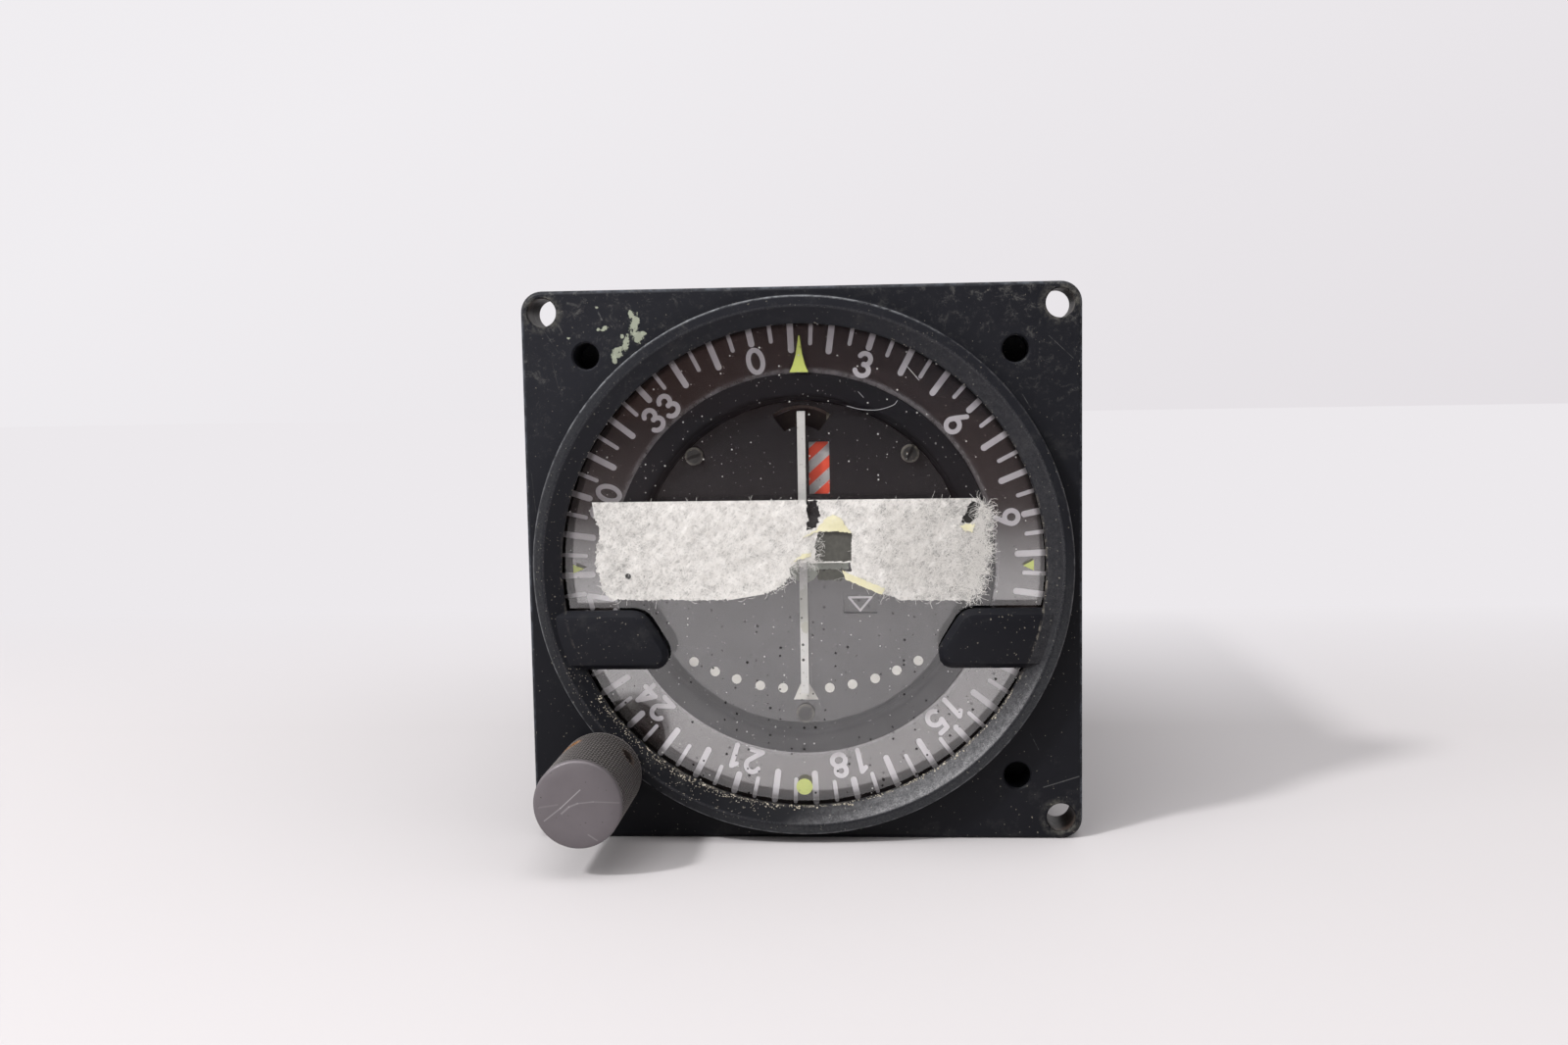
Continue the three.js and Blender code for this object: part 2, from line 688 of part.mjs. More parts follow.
// Pointer: front bar, a post back through the arched slot, and an arm down to the pivot
function makePointer() {
  const barLength = pointerTop + pointerBottom;
  const barMiddle = (pointerTop - pointerBottom) / 2;
  const barDepth = (pointerFront + pointerBack) / 2;
  const postDepth = pointerArmBack - pointerFront;
  const postHeight = pointerTop - pointerPostLength / 2;
  const armLength = pointerTop - pivotHeight;
  const armDepth = (pointerArmFront + pointerArmBack) / 2;
  const armMiddle = pivotHeight + armLength / 2;
  const postMiddle = pointerFront + postDepth / 2;
  const bar = box(pointerWidth, pointerThickness, barLength, 0, barDepth, barMiddle);
  const post = box(pointerPostWidth, postDepth, pointerPostLength, 0, postMiddle, postHeight);
  const arm = box(pointerPostWidth, pointerArmThickness, armLength, 0, armDepth, armMiddle);
  const hub = rod(pointerHubDiameter, pointerArmFront, pointerArmBack, [0, pivotHeight]);
  const pin = rod(pivotPinDiameter, pointerArmFront, pointerArmBack + pivotPinDepth, [0, pivotHeight]);
  const whole = solid(bar).add(solid(post)).add(solid(arm)).add(hub).add(pin);
  add('deviation_pointer', surface(whole), 'pointerWhite');
}

// Moving coil round the core, and the ring magnet with the core on two webs
function makePointerMeter() {
  const inside = coilReach - coilWire;
  const frame = polygon([
    [-coilReach, coilFront], [coilReach, coilFront], [coilReach, coilBack], [-coilReach, coilBack],
  ]);
  const opening = polygon([
    [-inside, coilFront + coilBarThickness], [inside, coilFront + coilBarThickness],
    [inside, coilBack - coilBarThickness], [-inside, coilBack - coilBarThickness],
  ]);
  frame.holes.push(opening);
  const loop = new THREE.ExtrudeGeometry(frame, { depth: coilWidth, bevelEnabled: false });
  loop.translate(0, 0, pivotHeight - coilWidth / 2);
  const pinHoleDiameter = pivotPinDiameter + 2 * seatGap;
  const pinHole = rod(pinHoleDiameter, coilFront - cutOverrun, magnetFront, [0, pivotHeight]);
  add('pointer_coil', surface(solid(loop).subtract(pinHole)), 'copper');
  const shape = new THREE.Shape();
  shape.absarc(0, 0, magnetDiameter / 2, 0, 2 * Math.PI);
  for (const middle of [0, Math.PI]) {
    const start = middle - magnetWindowHalfAngle;
    const end = middle + magnetWindowHalfAngle;
    shape.holes.push(sector(magnetCoreDiameter / 2, magnetGapDiameter / 2, start, end));
  }
  const pivotHole = new THREE.Path();
  pivotHole.absarc(0, 0, pivotPinDiameter / 2 + runningGap, 0, 2 * Math.PI);
  shape.holes.push(pivotHole);
  let magnet = solid(prism(shape, magnetFront, magnetBack));
  const footBack = gearPlateFront - seatGap;
  const footDepth = footBack - magnetBack + magnetFootDepth;
  const footHeight = (magnetDiameter - magnetGapDiameter) / 2 - seatGap;
  const footPlace = (magnetGapDiameter + footHeight) / 2;
  for (const side of [-1, 1]) {
    const foot = new THREE.BoxGeometry(magnetFootWidth, footDepth, footHeight);
    foot.translate(0, footBack - footDepth / 2, side * footPlace);
    magnet = magnet.add(solid(foot));
  }
  add('pointer_magnet', surface(magnet), 'steel', [0, pivotHeight]);
}

function addMeter(name, place) {
  const outer = meterDiameter / 2;
  const bore = vanePinDiameter / 2 + runningGap;
  const boreEnd = meterFront + meterBoreDepth;
  const back = gearPlateFront - seatGap;
  const profile = [
    [0, boreEnd], [bore, boreEnd], [bore, meterFront], [outer, meterFront], [outer, back], [0, back],
  ];
  add(name, turned(profile, smallSides), 'aluminium', place);
}

function vaneHub(place) {
  const hub = rod(vaneHubDiameter, vaneFront, vaneBack, place);
  const pinEnd = meterFront + meterBoreDepth - runningGap;
  return hub.add(rod(vanePinDiameter, vaneFront, pinEnd, place));
}

// Striped warning flag on its arm, and the little meter that draws it aside
function makeFlag() {
  const { left, right, bottom, top } = flagWindow;
  const low = bottom - flagMargin;
  const vane = polygon([
    [left - flagMargin, low], [right + flagMargin, low],
    [right + flagMargin, top + flagMargin], [left - flagMargin, top + flagMargin],
  ]);
  const [hubX, hubZ] = flagPivot;
  const arm = polygon([
    [right - flagArmWidth, low], [hubX - flagArmWidth / 2, hubZ],
    [hubX + flagArmWidth / 2, hubZ], [right + flagMargin, low + flagArmWidth],
  ]);
  const flag = solid(prism(vane, vaneFront, vaneBack)).add(solid(prism(arm, vaneFront, vaneBack)));
  add('nav_flag', surface(flag.add(vaneHub(flagPivot))), 'flagRed');
  addMeter('nav_flag_meter', flagPivot);
}

// To-from vane: a sector whose marks pass behind the small window, and its meter
function makeToFrom() {
  const shape = new THREE.Shape();
  shape.moveTo(0, 0);
  shape.lineTo(signVaneRadius * Math.cos(signVaneStart), signVaneRadius * Math.sin(signVaneStart));
  shape.absarc(0, 0, signVaneRadius, signVaneStart, signVaneEnd);
  shape.closePath();
  const [hubX, hubZ] = signPivot;
  const vane = prism(shape, vaneFront, vaneBack).translate(hubX, 0, hubZ);
  add('to_from_vane', surface(solid(vane).add(vaneHub(signPivot))), 'dialBlack');
  addMeter('to_from_meter', signPivot);
}

// Knob with its two set screws
function makeKnob() {
  const radius = knobDiameter / 2;
  const bore = shaftBore / 2;
  const boreEnd = knobBack - knobBoreDepth;
  const profile = [
    [0, knobFace], [radius - knobFaceBevel, knobFace], [radius, knobFace + knobFaceBevel],
    [radius, knobBack], [bore, knobBack], [bore, boreEnd], [0, boreEnd],
  ];
  let knob = solid(turned(profile, mediumSides));
  const depth = knobBack - setScrewSetback;
  const holeDiameter = setScrewDiameter + 2 * seatGap;
  for (const quarter of [0, 1]) {
    const hole = disc(holeDiameter, 0, knobDiameter, smallSides);
    knob = knob.subtract(solid(toSide(hole, setScrewAngle + quarter * Math.PI / 2, depth)));
  }
  add('knob', surface(knob), 'knobGrey', knobAxis);
  const screw = setScrewDiameter / 2;
  const socket = setScrewSocketDiameter / 2;
  const inner = shaftDiameter / 2 + seatGap;
  const outer = inner + setScrewLength;
  const socketEnd = outer - setScrewSocketDepth;
  const screwProfile = [
    [0, inner], [screw, inner], [screw, outer], [socket, outer], [socket, socketEnd], [0, socketEnd],
  ];
  for (const quarter of [0, 1]) {
    const angle = setScrewAngle + quarter * Math.PI / 2;
    const geometry = toSide(turned(screwProfile, smallSides), angle, depth);
    add(`knob_set_screw_${quarter + 1}`, geometry, 'rustySteel', knobAxis);
  }
}

// Turns a piece made along +Y so that it points sideways, at an angle counted from +X towards +Z
function toSide(geometry, angle, depth) {
  geometry.rotateZ(-Math.PI / 2);
  geometry.rotateY(-angle);
  geometry.translate(0, depth, 0);
  return geometry;
}

// Shaft, its bushing in the flange, its clip behind the gear plate, and the two gears on it
function makeShaft() {
  const shaftFront = knobBack - knobBoreDepth + seatGap;
  const shaftBack = gearPlateBack + shaftTail;
  add('knob_shaft', disc(shaftDiameter, shaftFront, shaftBack, smallSides), 'steel', knobAxis);
  const bore = shaftBore / 2;
  const body = bushingDiameter / 2;
  const head = bushingHeadDiameter / 2;
  const headFront = gearPocketWall + seatGap;
  const headBack = headFront + bushingHeadThickness;
  const profile = [
    [bore, 0], [body, 0], [body, headFront], [head, headFront], [head, headBack], [bore, headBack],
  ];
  add('shaft_bushing', turned(profile, mediumSides), 'brass', knobAxis);
  const clipFront = gearPlateBack + seatGap;
  const clip = tube(shaftBore, clipDiameter, clipFront, clipFront + clipThickness, smallSides);
  add('shaft_clip', clip, 'steel', knobAxis);
  const halfTooth = Math.PI / knobGearTeeth;
  const gear = gearShape(knobGearTeeth, cardGearModule, shaftBore, towardsCentre + halfTooth);
  add('knob_gear', surface(solid(prism(gear, cardGearFront, cardGearBack))), 'brass', knobAxis);
  const pinion = gearShape(knobPinionTeeth, resolverGearModule, shaftBore, towardsCentre);
  add('knob_pinion', surface(solid(prism(pinion, resolverGearFront, resolverGearBack))), 'brass', knobAxis);
}

// Resolver: a can with a rotor inside, whose gear turns one to one with the card
function makeResolver() {
  const outer = resolverDiameter / 2;
  const shaft = resolverShaftDiameter / 2;
  const bore = shaft + runningGap;
  const front = gearPlateBack + seatGap;
  const back = front + resolverLength;
  const hollow = outer - resolverWall;
  const hollowFront = front + resolverEndLength;
  const hollowBack = hollowFront + resolverRotorLength + 2 * runningGap;
  const boreEnd = hollowBack + resolverEndLength / 2;
  const profile = [
    [bore, front], [outer, front], [outer, back], [0, back], [0, boreEnd], [bore, boreEnd],
    [bore, hollowBack], [hollow, hollowBack], [hollow, hollowFront], [bore, hollowFront],
  ];
  add('resolver_body', turned(profile, mediumSides), 'aluminium', resolverAxis);
  const core = hollow - runningGap;
  const coreFront = hollowFront + runningGap;
  const coreBack = hollowBack - runningGap;
  const shaftFront = resolverGearFront - seatGap;
  const shaftBack = boreEnd - runningGap;
  const rotor = [
    [0, shaftFront], [shaft, shaftFront], [shaft, coreFront], [core, coreFront],
    [core, coreBack], [shaft, coreBack], [shaft, shaftBack], [0, shaftBack],
  ];
  add('resolver_rotor', turned(rotor, mediumSides), 'steel', resolverAxis);
  const halfTooth = Math.PI / resolverGearTeeth;
  const gear = gearShape(resolverGearTeeth, resolverGearModule, 2 * bore, towardsKnob + halfTooth);
  add('resolver_gear', surface(solid(prism(gear, resolverGearFront, resolverGearBack))), 'brass', resolverAxis);
}

// Gear plate, the posts that space it off the flange, the long rods behind it and two lamps on it
function makeChassis() {
  let plate = solid(prism(roundedSquare(gearPlateSide, gearPlateCorner), gearPlateFront, gearPlateBack));
  const front = gearPlateFront - cutOverrun;
  const back = gearPlateBack + cutOverrun;
  plate = plate.subtract(rod(shaftBore, front, back, knobAxis));
  plate = plate.subtract(rod(resolverShaftDiameter + 2 * runningGap, front, back, resolverAxis));
  add('gear_plate', surface(plate), 'aluminium');
  const postFront = flangeThickness + seatGap;
  const post = disc(rodDiameter, postFront, gearPlateFront - seatGap, smallSides);
  const rodFront = gearPlateBack + seatGap;
  const outer = rodDiameter / 2;
  const bore = coverScrewShankDiameter / 2 + seatGap;
  const boreEnd = caseBack - coverScrewLength;
  const profile = [
    [0, rodFront], [outer, rodFront], [outer, caseBack], [bore, caseBack], [bore, boreEnd], [0, boreEnd],
  ];
  rodPlaces.forEach((place, i) => {
    add(`front_post_${i + 1}`, post.clone(), 'aluminium', place);
    add(`chassis_rod_${i + 1}`, turned(profile, smallSides), 'aluminium', place);
  });
  const lampBack = gearPlateFront - seatGap;
  const lampFront = lampBack - lampLength;
  const lamp = lampDiameter / 2;
  const shoulder = lamp / Math.SQRT2;
  const dome = [[0, lampFront], [shoulder, lampFront + lamp - shoulder], [lamp, lampFront + lamp]];
  const lampProfile = [...dome, [lamp, lampBack], [0, lampBack]];
  add('lamp_left', turned(lampProfile, smallSides), 'glass', [-lampOffset, 0]);
  add('lamp_right', turned(lampProfile, smallSides), 'glass', [lampOffset, 0]);
}

// Two circuit boards on the rods, with a transformer and two capacitors
function makeBoards() {
  const fronts = boardPlaceShares.map((share) => gearPlateBack + share * (caseBack - gearPlateBack));
  fronts.forEach((front, i) => {
    let board = solid(prism(roundedSquare(boardSide, boardCorner), front, front + boardThickness));
    for (const place of rodPlaces) {
      const ends = [front - cutOverrun, front + boardThickness + cutOverrun];
      board = board.subtract(rod(rodDiameter + 2 * seatGap, ...ends, place));
    }
    add(`circuit_board_${i + 1}`, surface(board), 'board');
  });
  const { width, depth, height } = transformerSize;
  const transformerFront = fronts[0] + boardThickness + seatGap;
  const [shareX, shareZ] = transformerPlaceShares;
  const transformer = new THREE.BoxGeometry(width, depth, height);
  transformer.translate(0, transformerFront + depth / 2, 0);
  add('transformer', transformer, 'steel', [shareX * boardSide, shareZ * boardSide]);
  const canFront = fronts[1] + boardThickness + seatGap;
  capacitorPlaceShares.forEach(([x, z], i) => {
    const can = disc(capacitorDiameter, canFront, canFront + capacitorLength, smallSides);
    add(`capacitor_${i + 1}`, can, 'aluminium', [x * boardSide, z * boardSide]);
  });
}

// Case: a rounded square shell, screwed to the flange's lugs at its sides
function makeCase() {
  const outer = roundedSquare(caseSide, caseCorner);
  outer.holes.push(roundedSquare(caseSide - 2 * caseWall, caseCorner - caseWall));
  let shell = solid(prism(outer, caseFront, caseBack));
  const depth = caseFront + caseScrewSetback;
  const hole = disc(caseScrewShankDiameter + 2 * seatGap, -caseSide, caseSide, smallSides);
  hole.rotateZ(Math.PI / 2);
  for (const sideZ of [-1, 1]) {
    shell = shell.subtract(solid(hole.clone().translate(0, depth, sideZ * lugOffset)));
  }
  add('case_shell', surface(shell), 'blackCase');
  const head = caseScrewHeadDiameter / 2;
  const shank = caseScrewShankDiameter / 2;
  const headBack = caseScrewHeadThickness + caseScrewLength;
  const profile = [
    [0, 0], [shank, 0], [shank, caseScrewLength], [head, caseScrewLength], [head, headBack], [0, headBack],
  ];
  const start = caseSide / 2 + seatGap - caseScrewLength;
  let count = 0;
  for (const angle of [0, Math.PI]) {
    for (const sideZ of [-1, 1]) {
      count += 1;
      const screw = turned(profile, smallSides).translate(0, start, 0);
      add(`case_screw_${count}`, toSide(screw, angle, depth), 'steel', [0, sideZ * lugOffset]);
    }
  }
}

// Rear cover, its screws into the rods, and the round connector in its middle
function makeRear() {
  let cover = solid(prism(roundedSquare(caseSide, caseCorner), coverFront, coverBack));
  const front = coverFront - cutOverrun;
  const back = coverBack + cutOverrun;
  for (const place of rodPlaces) {
    cover = cover.subtract(rod(coverScrewShankDiameter + 2 * seatGap, front, back, place));
  }
  const socketDiameter = connectorShellDiameter - 2 * connectorShellWall;
  const insertDiameter = socketDiameter - 2 * seatGap;
  cover = cover.subtract(rod(socketDiameter, front, back, [0, 0], mediumSides));
  add('rear_cover', surface(cover), 'blackCase');
  const head = coverScrewHeadDiameter / 2;
  const shank = coverScrewShankDiameter / 2;
  const headFront = coverBack + seatGap;
  const headBack = headFront + coverScrewHeadThickness;
  const tip = headFront - coverScrewLength;
  const profile = [
    [0, tip], [shank, tip], [shank, headFront], [head, headFront], [head, headBack], [0, headBack],
  ];
  rodPlaces.forEach((place, i) => {
    add(`cover_screw_${i + 1}`, turned(profile, smallSides), 'steel', place);
  });
  const flangeBack = connectorFront + connectorFlangeThickness;
  const outline = roundedSquare(connectorFlangeSide, connectorFlangeCorner);
  const flange = prism(outline, connectorFront, flangeBack);
  const shell = disc(connectorShellDiameter, connectorFront, connectorBack);
  const hollow = disc(socketDiameter, connectorFront - cutOverrun, connectorBack + cutOverrun);
  add('connector_shell', surface(solid(flange).add(solid(shell)).subtract(solid(hollow))), 'aluminium');
  const insertFront = coverFront - connectorInsertInside;
  const insertBack = connectorBack - connectorSocketDepth;
  let insert = solid(disc(insertDiameter, insertFront, insertBack));
  for (let i = 0; i < contactCount; i += 1) {
    const angle = 2 * Math.PI * i / contactCount;
    const radius = contactCircleShare * insertDiameter / 2;
    const place = [radius * Math.cos(angle), radius * Math.sin(angle)];
    const ends = [insertBack - contactDepth, insertBack + cutOverrun];
    insert = insert.subtract(rod(contactDiameter, ...ends, place, cornerSteps));
  }
  add('connector_insert', surface(insert), 'insulator');
}

makeBezel();
makeWindow();
makeTape();
makeCard();
makeDrum();
makeDial();
makePointer();
makePointerMeter();
makeFlag();
makeToFrom();
makeKnob();
makeShaft();
makeResolver();
makeChassis();
makeBoards();
makeCase();
makeRear();

// Stands the flange on the ground with the footprint's middle at the origin
instrument.position.set(0, -(knobFace + connectorBack) / 2, flangeSide / 2);
const part = new THREE.Group();
part.add(instrument);

export default part;
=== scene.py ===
import math

import bmesh
import bpy
import numpy as np
from mathutils import Matrix, Vector
from mathutils.geometry import delaunay_2d_cdt


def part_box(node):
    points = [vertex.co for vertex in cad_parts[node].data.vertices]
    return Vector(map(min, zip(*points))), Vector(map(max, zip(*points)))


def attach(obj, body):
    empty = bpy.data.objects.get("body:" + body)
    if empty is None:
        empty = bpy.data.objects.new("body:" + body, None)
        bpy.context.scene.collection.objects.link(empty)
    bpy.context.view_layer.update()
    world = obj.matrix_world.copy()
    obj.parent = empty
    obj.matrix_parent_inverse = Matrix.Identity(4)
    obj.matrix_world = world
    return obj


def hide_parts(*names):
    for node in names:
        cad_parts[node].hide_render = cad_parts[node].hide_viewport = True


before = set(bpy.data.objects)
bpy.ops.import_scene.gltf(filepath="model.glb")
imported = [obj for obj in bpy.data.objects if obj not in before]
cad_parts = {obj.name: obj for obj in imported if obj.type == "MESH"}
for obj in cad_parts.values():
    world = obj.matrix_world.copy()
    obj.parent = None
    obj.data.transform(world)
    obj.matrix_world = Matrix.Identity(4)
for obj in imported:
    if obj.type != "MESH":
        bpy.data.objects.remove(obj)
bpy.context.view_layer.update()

# Camera: a little over 20 cm in front of the dial, solved from the flange's corners, the ring and the holes.
# Sizes and places in this file are millimetres from the dial's centre on the flange's front face, with x to
# the right, y into the case and z up. Table, room and lamps are in metres, and noise scales are per metre.
RING_HEIGHT, FLANGE_HALF = 3.4, 41.05
FOCAL_LENGTH, PHOTO_WIDTH = 1627.4, 1600
CAMERA_AT = (13.98, -233.7, 28.04)
CAMERA_PAN, CAMERA_TILT, CAMERA_ROLL = 0.0707, -0.0916, 0.0170
bezel_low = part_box("bezel")[0]
dial_origin = np.array([0.0, bezel_low.y + RING_HEIGHT / 1000, bezel_low.z + FLANGE_HALF / 1000])


def place(points):
    """Row-frame metres of points in dial millimetres: the dial's origin plus the point over 1000."""
    return dial_origin + np.asarray(points, float) / 1000


def put(name, data):
    """A new object with the given data, linked to the scene."""
    thing = bpy.data.objects.new(name, data)
    bpy.context.scene.collection.objects.link(thing)
    return thing


camera_data = bpy.data.cameras.new("camera")
camera_data.sensor_width = 36
camera_data.lens = FOCAL_LENGTH / PHOTO_WIDTH * 36
camera = put("camera", camera_data)
pan, tilt = Matrix.Rotation(CAMERA_PAN, 3, "Z"), Matrix.Rotation(CAMERA_TILT, 3, "X")
right, forward, up = (pan @ tilt @ Matrix.Rotation(CAMERA_ROLL, 3, "Y")).col
axes = Matrix((right, up, -forward)).transposed().to_4x4()
camera.matrix_world = Matrix.Translation(Vector(place(CAMERA_AT))) @ axes
bpy.context.scene.camera = camera
bpy.context.scene.view_settings.view_transform = "Standard"

# Table and light: a pale table that sweeps away behind the object, a small strong lamp at the front left,
# three wide weaker ones, and a pale room. Towards the front the room is dark, as it is in the glass.


class Nodes:
    """A cleared node tree of a material or a world, with a short word for each kind of node used often."""

    def __init__(self, owner, output="OutputMaterial", where="Object"):
        owner.use_nodes = True
        self.material = owner
        self.tree = owner.node_tree
        self.tree.nodes.clear()
        self.end = self.add(output).inputs["Surface"]
        self.where = self.add("TexCoord").outputs[where]

    def add(self, kind, inputs=None, **settings):
        """One node, each input of which is given a value or linked to a socket."""
        node = self.tree.nodes.new("ShaderNode" + kind)
        for key, value in settings.items():
            setattr(node, key, value)
        for key, value in (inputs or {}).items():
            if isinstance(value, bpy.types.NodeSocket):
                self.tree.links.new(value, node.inputs[key])
            else:
                node.inputs[key].default_value = value
        return node

    def maths(self, operation, *values, **settings):
        """One maths node's output."""
        return self.add("Math", dict(enumerate(values)), operation=operation, **settings).outputs[0]

    def vector(self, operation, *values):
        """One vector maths node's output, a single value for a length, a distance or a dot product."""
        node = self.add("VectorMath", dict(enumerate(values)), operation=operation)
        return node.outputs["Value" if operation in ("LENGTH", "DISTANCE", "DOT_PRODUCT") else "Vector"]

    def plus(self, a, b):
        """The sum of two values."""
        return self.maths("ADD", a, b)

    def minus(self, a, b):
        """The first value less the second."""
        return self.maths("SUBTRACT", a, b)

    def larger(self, a, b):
        """The larger of two values."""
        return self.maths("MAXIMUM", a, b)

    def ramp(self, value, low, high, to_low=0.0, to_high=1.0):
        """A value mapped from one range to another and clamped."""
        inputs = {"Value": value, "From Min": low, "From Max": high, "To Min": to_low, "To Max": to_high}
        return self.add("MapRange", inputs, clamp=True).outputs[0]

    def times(self, *parts):
        """The product of the parts: each is a value, or a tuple with the arguments of a ramp."""
        values = [self.ramp(*part) if isinstance(part, tuple) else part for part in parts]
        total = values[0]
        for value in values[1:]:
            total = self.maths("MULTIPLY", total, value)
        return total

    def noise(self, scale, detail, roughness, where=None, distortion=0.0):
        """A cloudy noise between nought and one."""
        return self.add("TexNoise", {
            "Vector": where or self.where, "Scale": scale, "Detail": detail, "Roughness": roughness,
            "Distortion": distortion,
        }).outputs["Fac"]

    def blend(self, share, first, second):
        """A colour that goes from the first to the second with the share."""
        first, second = ((*c, 1) if isinstance(c, tuple) else c for c in (first, second))
        return self.add("Mix", {0: share, 6: first, 7: second}, data_type="RGBA").outputs[2]

    def shader(self, kind, colour, **inputs):
        """One shader's output, in one colour."""
        return self.add(kind, {"Color": (*colour, 1), **inputs}).outputs[0]

    def mixed(self, share, first, second):
        """A shader that goes from the first to the second with the share."""
        return self.add("MixShader", {0: share, 1: first, 2: second}).outputs[0]

    def surface(self, shader):
        """Takes a shader as the surface."""
        self.tree.links.new(shader, self.end)

    def coated(self, colour, height, bump, specular, **inputs):
        """The usual shader in a colour, bumped by a height and taken as the surface."""
        raised = self.add("Bump", {"Height": height, "Strength": bump, "Distance": 0.0002}).outputs[0]
        inputs |= {"Base Color": colour, "Normal": raised, "Specular IOR Level": specular}
        node = self.add("BsdfPrincipled", inputs)
        self.surface(node.outputs[0])
        return node


def make_table(half=2.5):
    """A flat square far larger than the view, at the height of the flange's lower edge."""
    mesh = bpy.data.meshes.new("table")
    corners = [(-half, -half, 0), (half, -half, 0), (half, half, 0), (-half, half, 0)]
    mesh.from_pydata(corners, [], [(0, 1, 2, 3)])
    look = Nodes(bpy.data.materials.new("table"))
    mesh.materials.append(look.material)
    rays = look.add("LightPath").outputs
    y = look.add("SeparateXYZ", {"Vector": look.where}).outputs["Y"]
    not_gloss = look.maths("LESS_THAN", rays["Is Glossy Ray"], 0.5)
    pale = look.larger(look.ramp(y, -0.64, -0.34), not_gloss)
    colour = look.blend(pale, (0.03, 0.02, 0.02), (0.56, 0.535, 0.542))
    cloth = look.add("BsdfPrincipled", {"Base Color": colour, "Roughness": 0.7, "Specular IOR Level": 0.2})
    away = look.vector("LENGTH", look.vector("MULTIPLY", look.where, (1, 1, 0)))
    far = look.larger(look.ramp(y, 0.0, 0.16), look.ramp(away, 0.32, 0.75))
    glow = look.shader("Emission", (0.84, 0.815, 0.84), Strength=1.0)
    look.surface(look.mixed(look.times(far, rays["Is Camera Ray"]), cloth.outputs[0], glow))
    put("table", mesh)


def make_room():
    """World light: pale for the camera, soft grey for diffuse light, dark ahead of the dial for gloss."""
    world = bpy.data.worlds.new("room")
    bpy.context.scene.world = world
    look = Nodes(world, "OutputWorld", "Generated")
    rays = look.add("LightPath").outputs
    x, y, _ = look.add("SeparateXYZ", {"Vector": look.where}).outputs
    ahead = look.ramp(look.vector("DOT_PRODUCT", look.where, (-0.62, 1.0, 0.0)), -0.6, 0.05)
    rise = look.ramp(look.vector("DOT_PRODUCT", look.where, (-0.6, 0.0, 1.0)), -0.25, 0.35)
    wall = look.blend(rise, (0.775, 0.745, 0.772), (0.87, 0.85, 0.875))
    dark = look.blend(look.ramp(x, -0.2, 0.06, 1.0, 0.0), (0.026, 0.026, 0.032), (0.052, 0.026, 0.020))
    gloss = look.blend(ahead, dark, (0.8, 0.78, 0.79))
    fill = look.blend(look.ramp(y, -0.45, 0.35), (0.17, 0.165, 0.16), (0.66, 0.66, 0.67))
    bright = look.blend(look.ramp(x, 0.1, 0.9), fill, (1.25, 1.23, 1.24))
    soft = look.blend(rays["Is Glossy Ray"], bright, gloss)
    seen = look.larger(rays["Is Camera Ray"], rays["Is Transmission Ray"])
    look.surface(look.add("Background", {"Color": look.blend(seen, soft, wall), "Strength": 1.0}).outputs[0])


def add_lamp(name, direction, size, power, distance=1.3):
    """A round lamp that shines along the direction at the dial's centre."""
    data = bpy.data.lights.new(name, "AREA")
    data.shape = "DISK"
    data.size = size
    data.energy = power
    lamp = put(name, data)
    aim = Vector(direction).normalized()
    lamp.location = Vector(place([0, 0, 0])) - aim * distance
    lamp.rotation_mode = "QUATERNION"
    lamp.rotation_quaternion = aim.to_track_quat("-Z", "Y")


make_table()
make_room()
add_lamp("key_lamp", (0.76, 0.67, -1.0), 0.15, 11.5)
add_lamp("second_lamp", (1.25, 0.85, -1.0), 0.8, 3.5)
add_lamp("top_lamp", (0.05, 0.25, -1.0), 1.2, 7)
add_lamp("front_lamp", (0.6, 1.0, -0.6), 0.9, 3)

# Bezel: one aluminium casting with a square flange, a raised ring, a sloped inner wall and two ears.
# It was milled and turned, drilled at its corners, and painted satin black. The paint is worn along the
# edges, chipped at the upper left and dusty, and grit has gathered in the ring's lower corner.
# Painted light in its colour: lighter to the upper left, a sheen on the slope, a highlight on the ring's
# outer edge and shade inside the lip.
RING_OUTER, RING_RIM_INNER = 39.6, 38.1
OPENING, BORE, LIP_BACK = 35.6, 37.9, -1.3
FLANGE_BACK, FLANGE_BORE = 8.8, RING_OUTER - 0.4
CORNER_HOLES = [(-37.9, 37.9), (37.9, 37.9), (37.9, -37.9)]
PANEL_HOLES = [(-31.43, 31.43), (31.43, 31.43), (31.43, -31.43)]
KNOB_AXIS = (-30.24, -30.24)
HOLE_RADII = [(2.1, centre) for centre in CORNER_HOLES] + [(3.0, KNOB_AXIS)]
GRIT_RADII, GRIT_DEPTHS = [35.6, 35.72, 37.86, 38.1, 39.4], [-1.66, -1.76, -3.25, -3.41, -3.41]


def add_piece(name, points, faces, body="instrument", stands_for=(), slot=None, smooth=30, turn_out=True,
              finish=None):
    """A mesh object from dial-millimetre points and a list of faces, welded, facing outwards and ridden."""
    mesh = bpy.data.meshes.new(name)
    mesh.from_pydata(place(points), [], faces)
    work = bmesh.new()
    work.from_mesh(mesh)
    bmesh.ops.remove_doubles(work, verts=work.verts, dist=2e-7)
    if turn_out:
        bmesh.ops.recalc_face_normals(work, faces=work.faces)
    work.to_mesh(mesh)
    work.free()
    mesh.shade_smooth()
    mesh.set_sharp_from_angle(angle=math.radians(smooth))
    mesh.materials.append(finish.material)
    piece = put(name, mesh)
    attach(piece, body)
    if stands_for:
        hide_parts(*stands_for)


def grid_faces(rows, columns):
    """Quads between neighbouring rows of points, each row closed on itself."""
    i, j = np.meshgrid(np.arange(rows - 1), np.arange(columns), indexing="ij")
    k = (j + 1) % columns
    quads = [i * columns + j, i * columns + k, (i + 1) * columns + k, (i + 1) * columns + j]
    return np.stack(quads, -1).reshape(-1, 4).tolist()


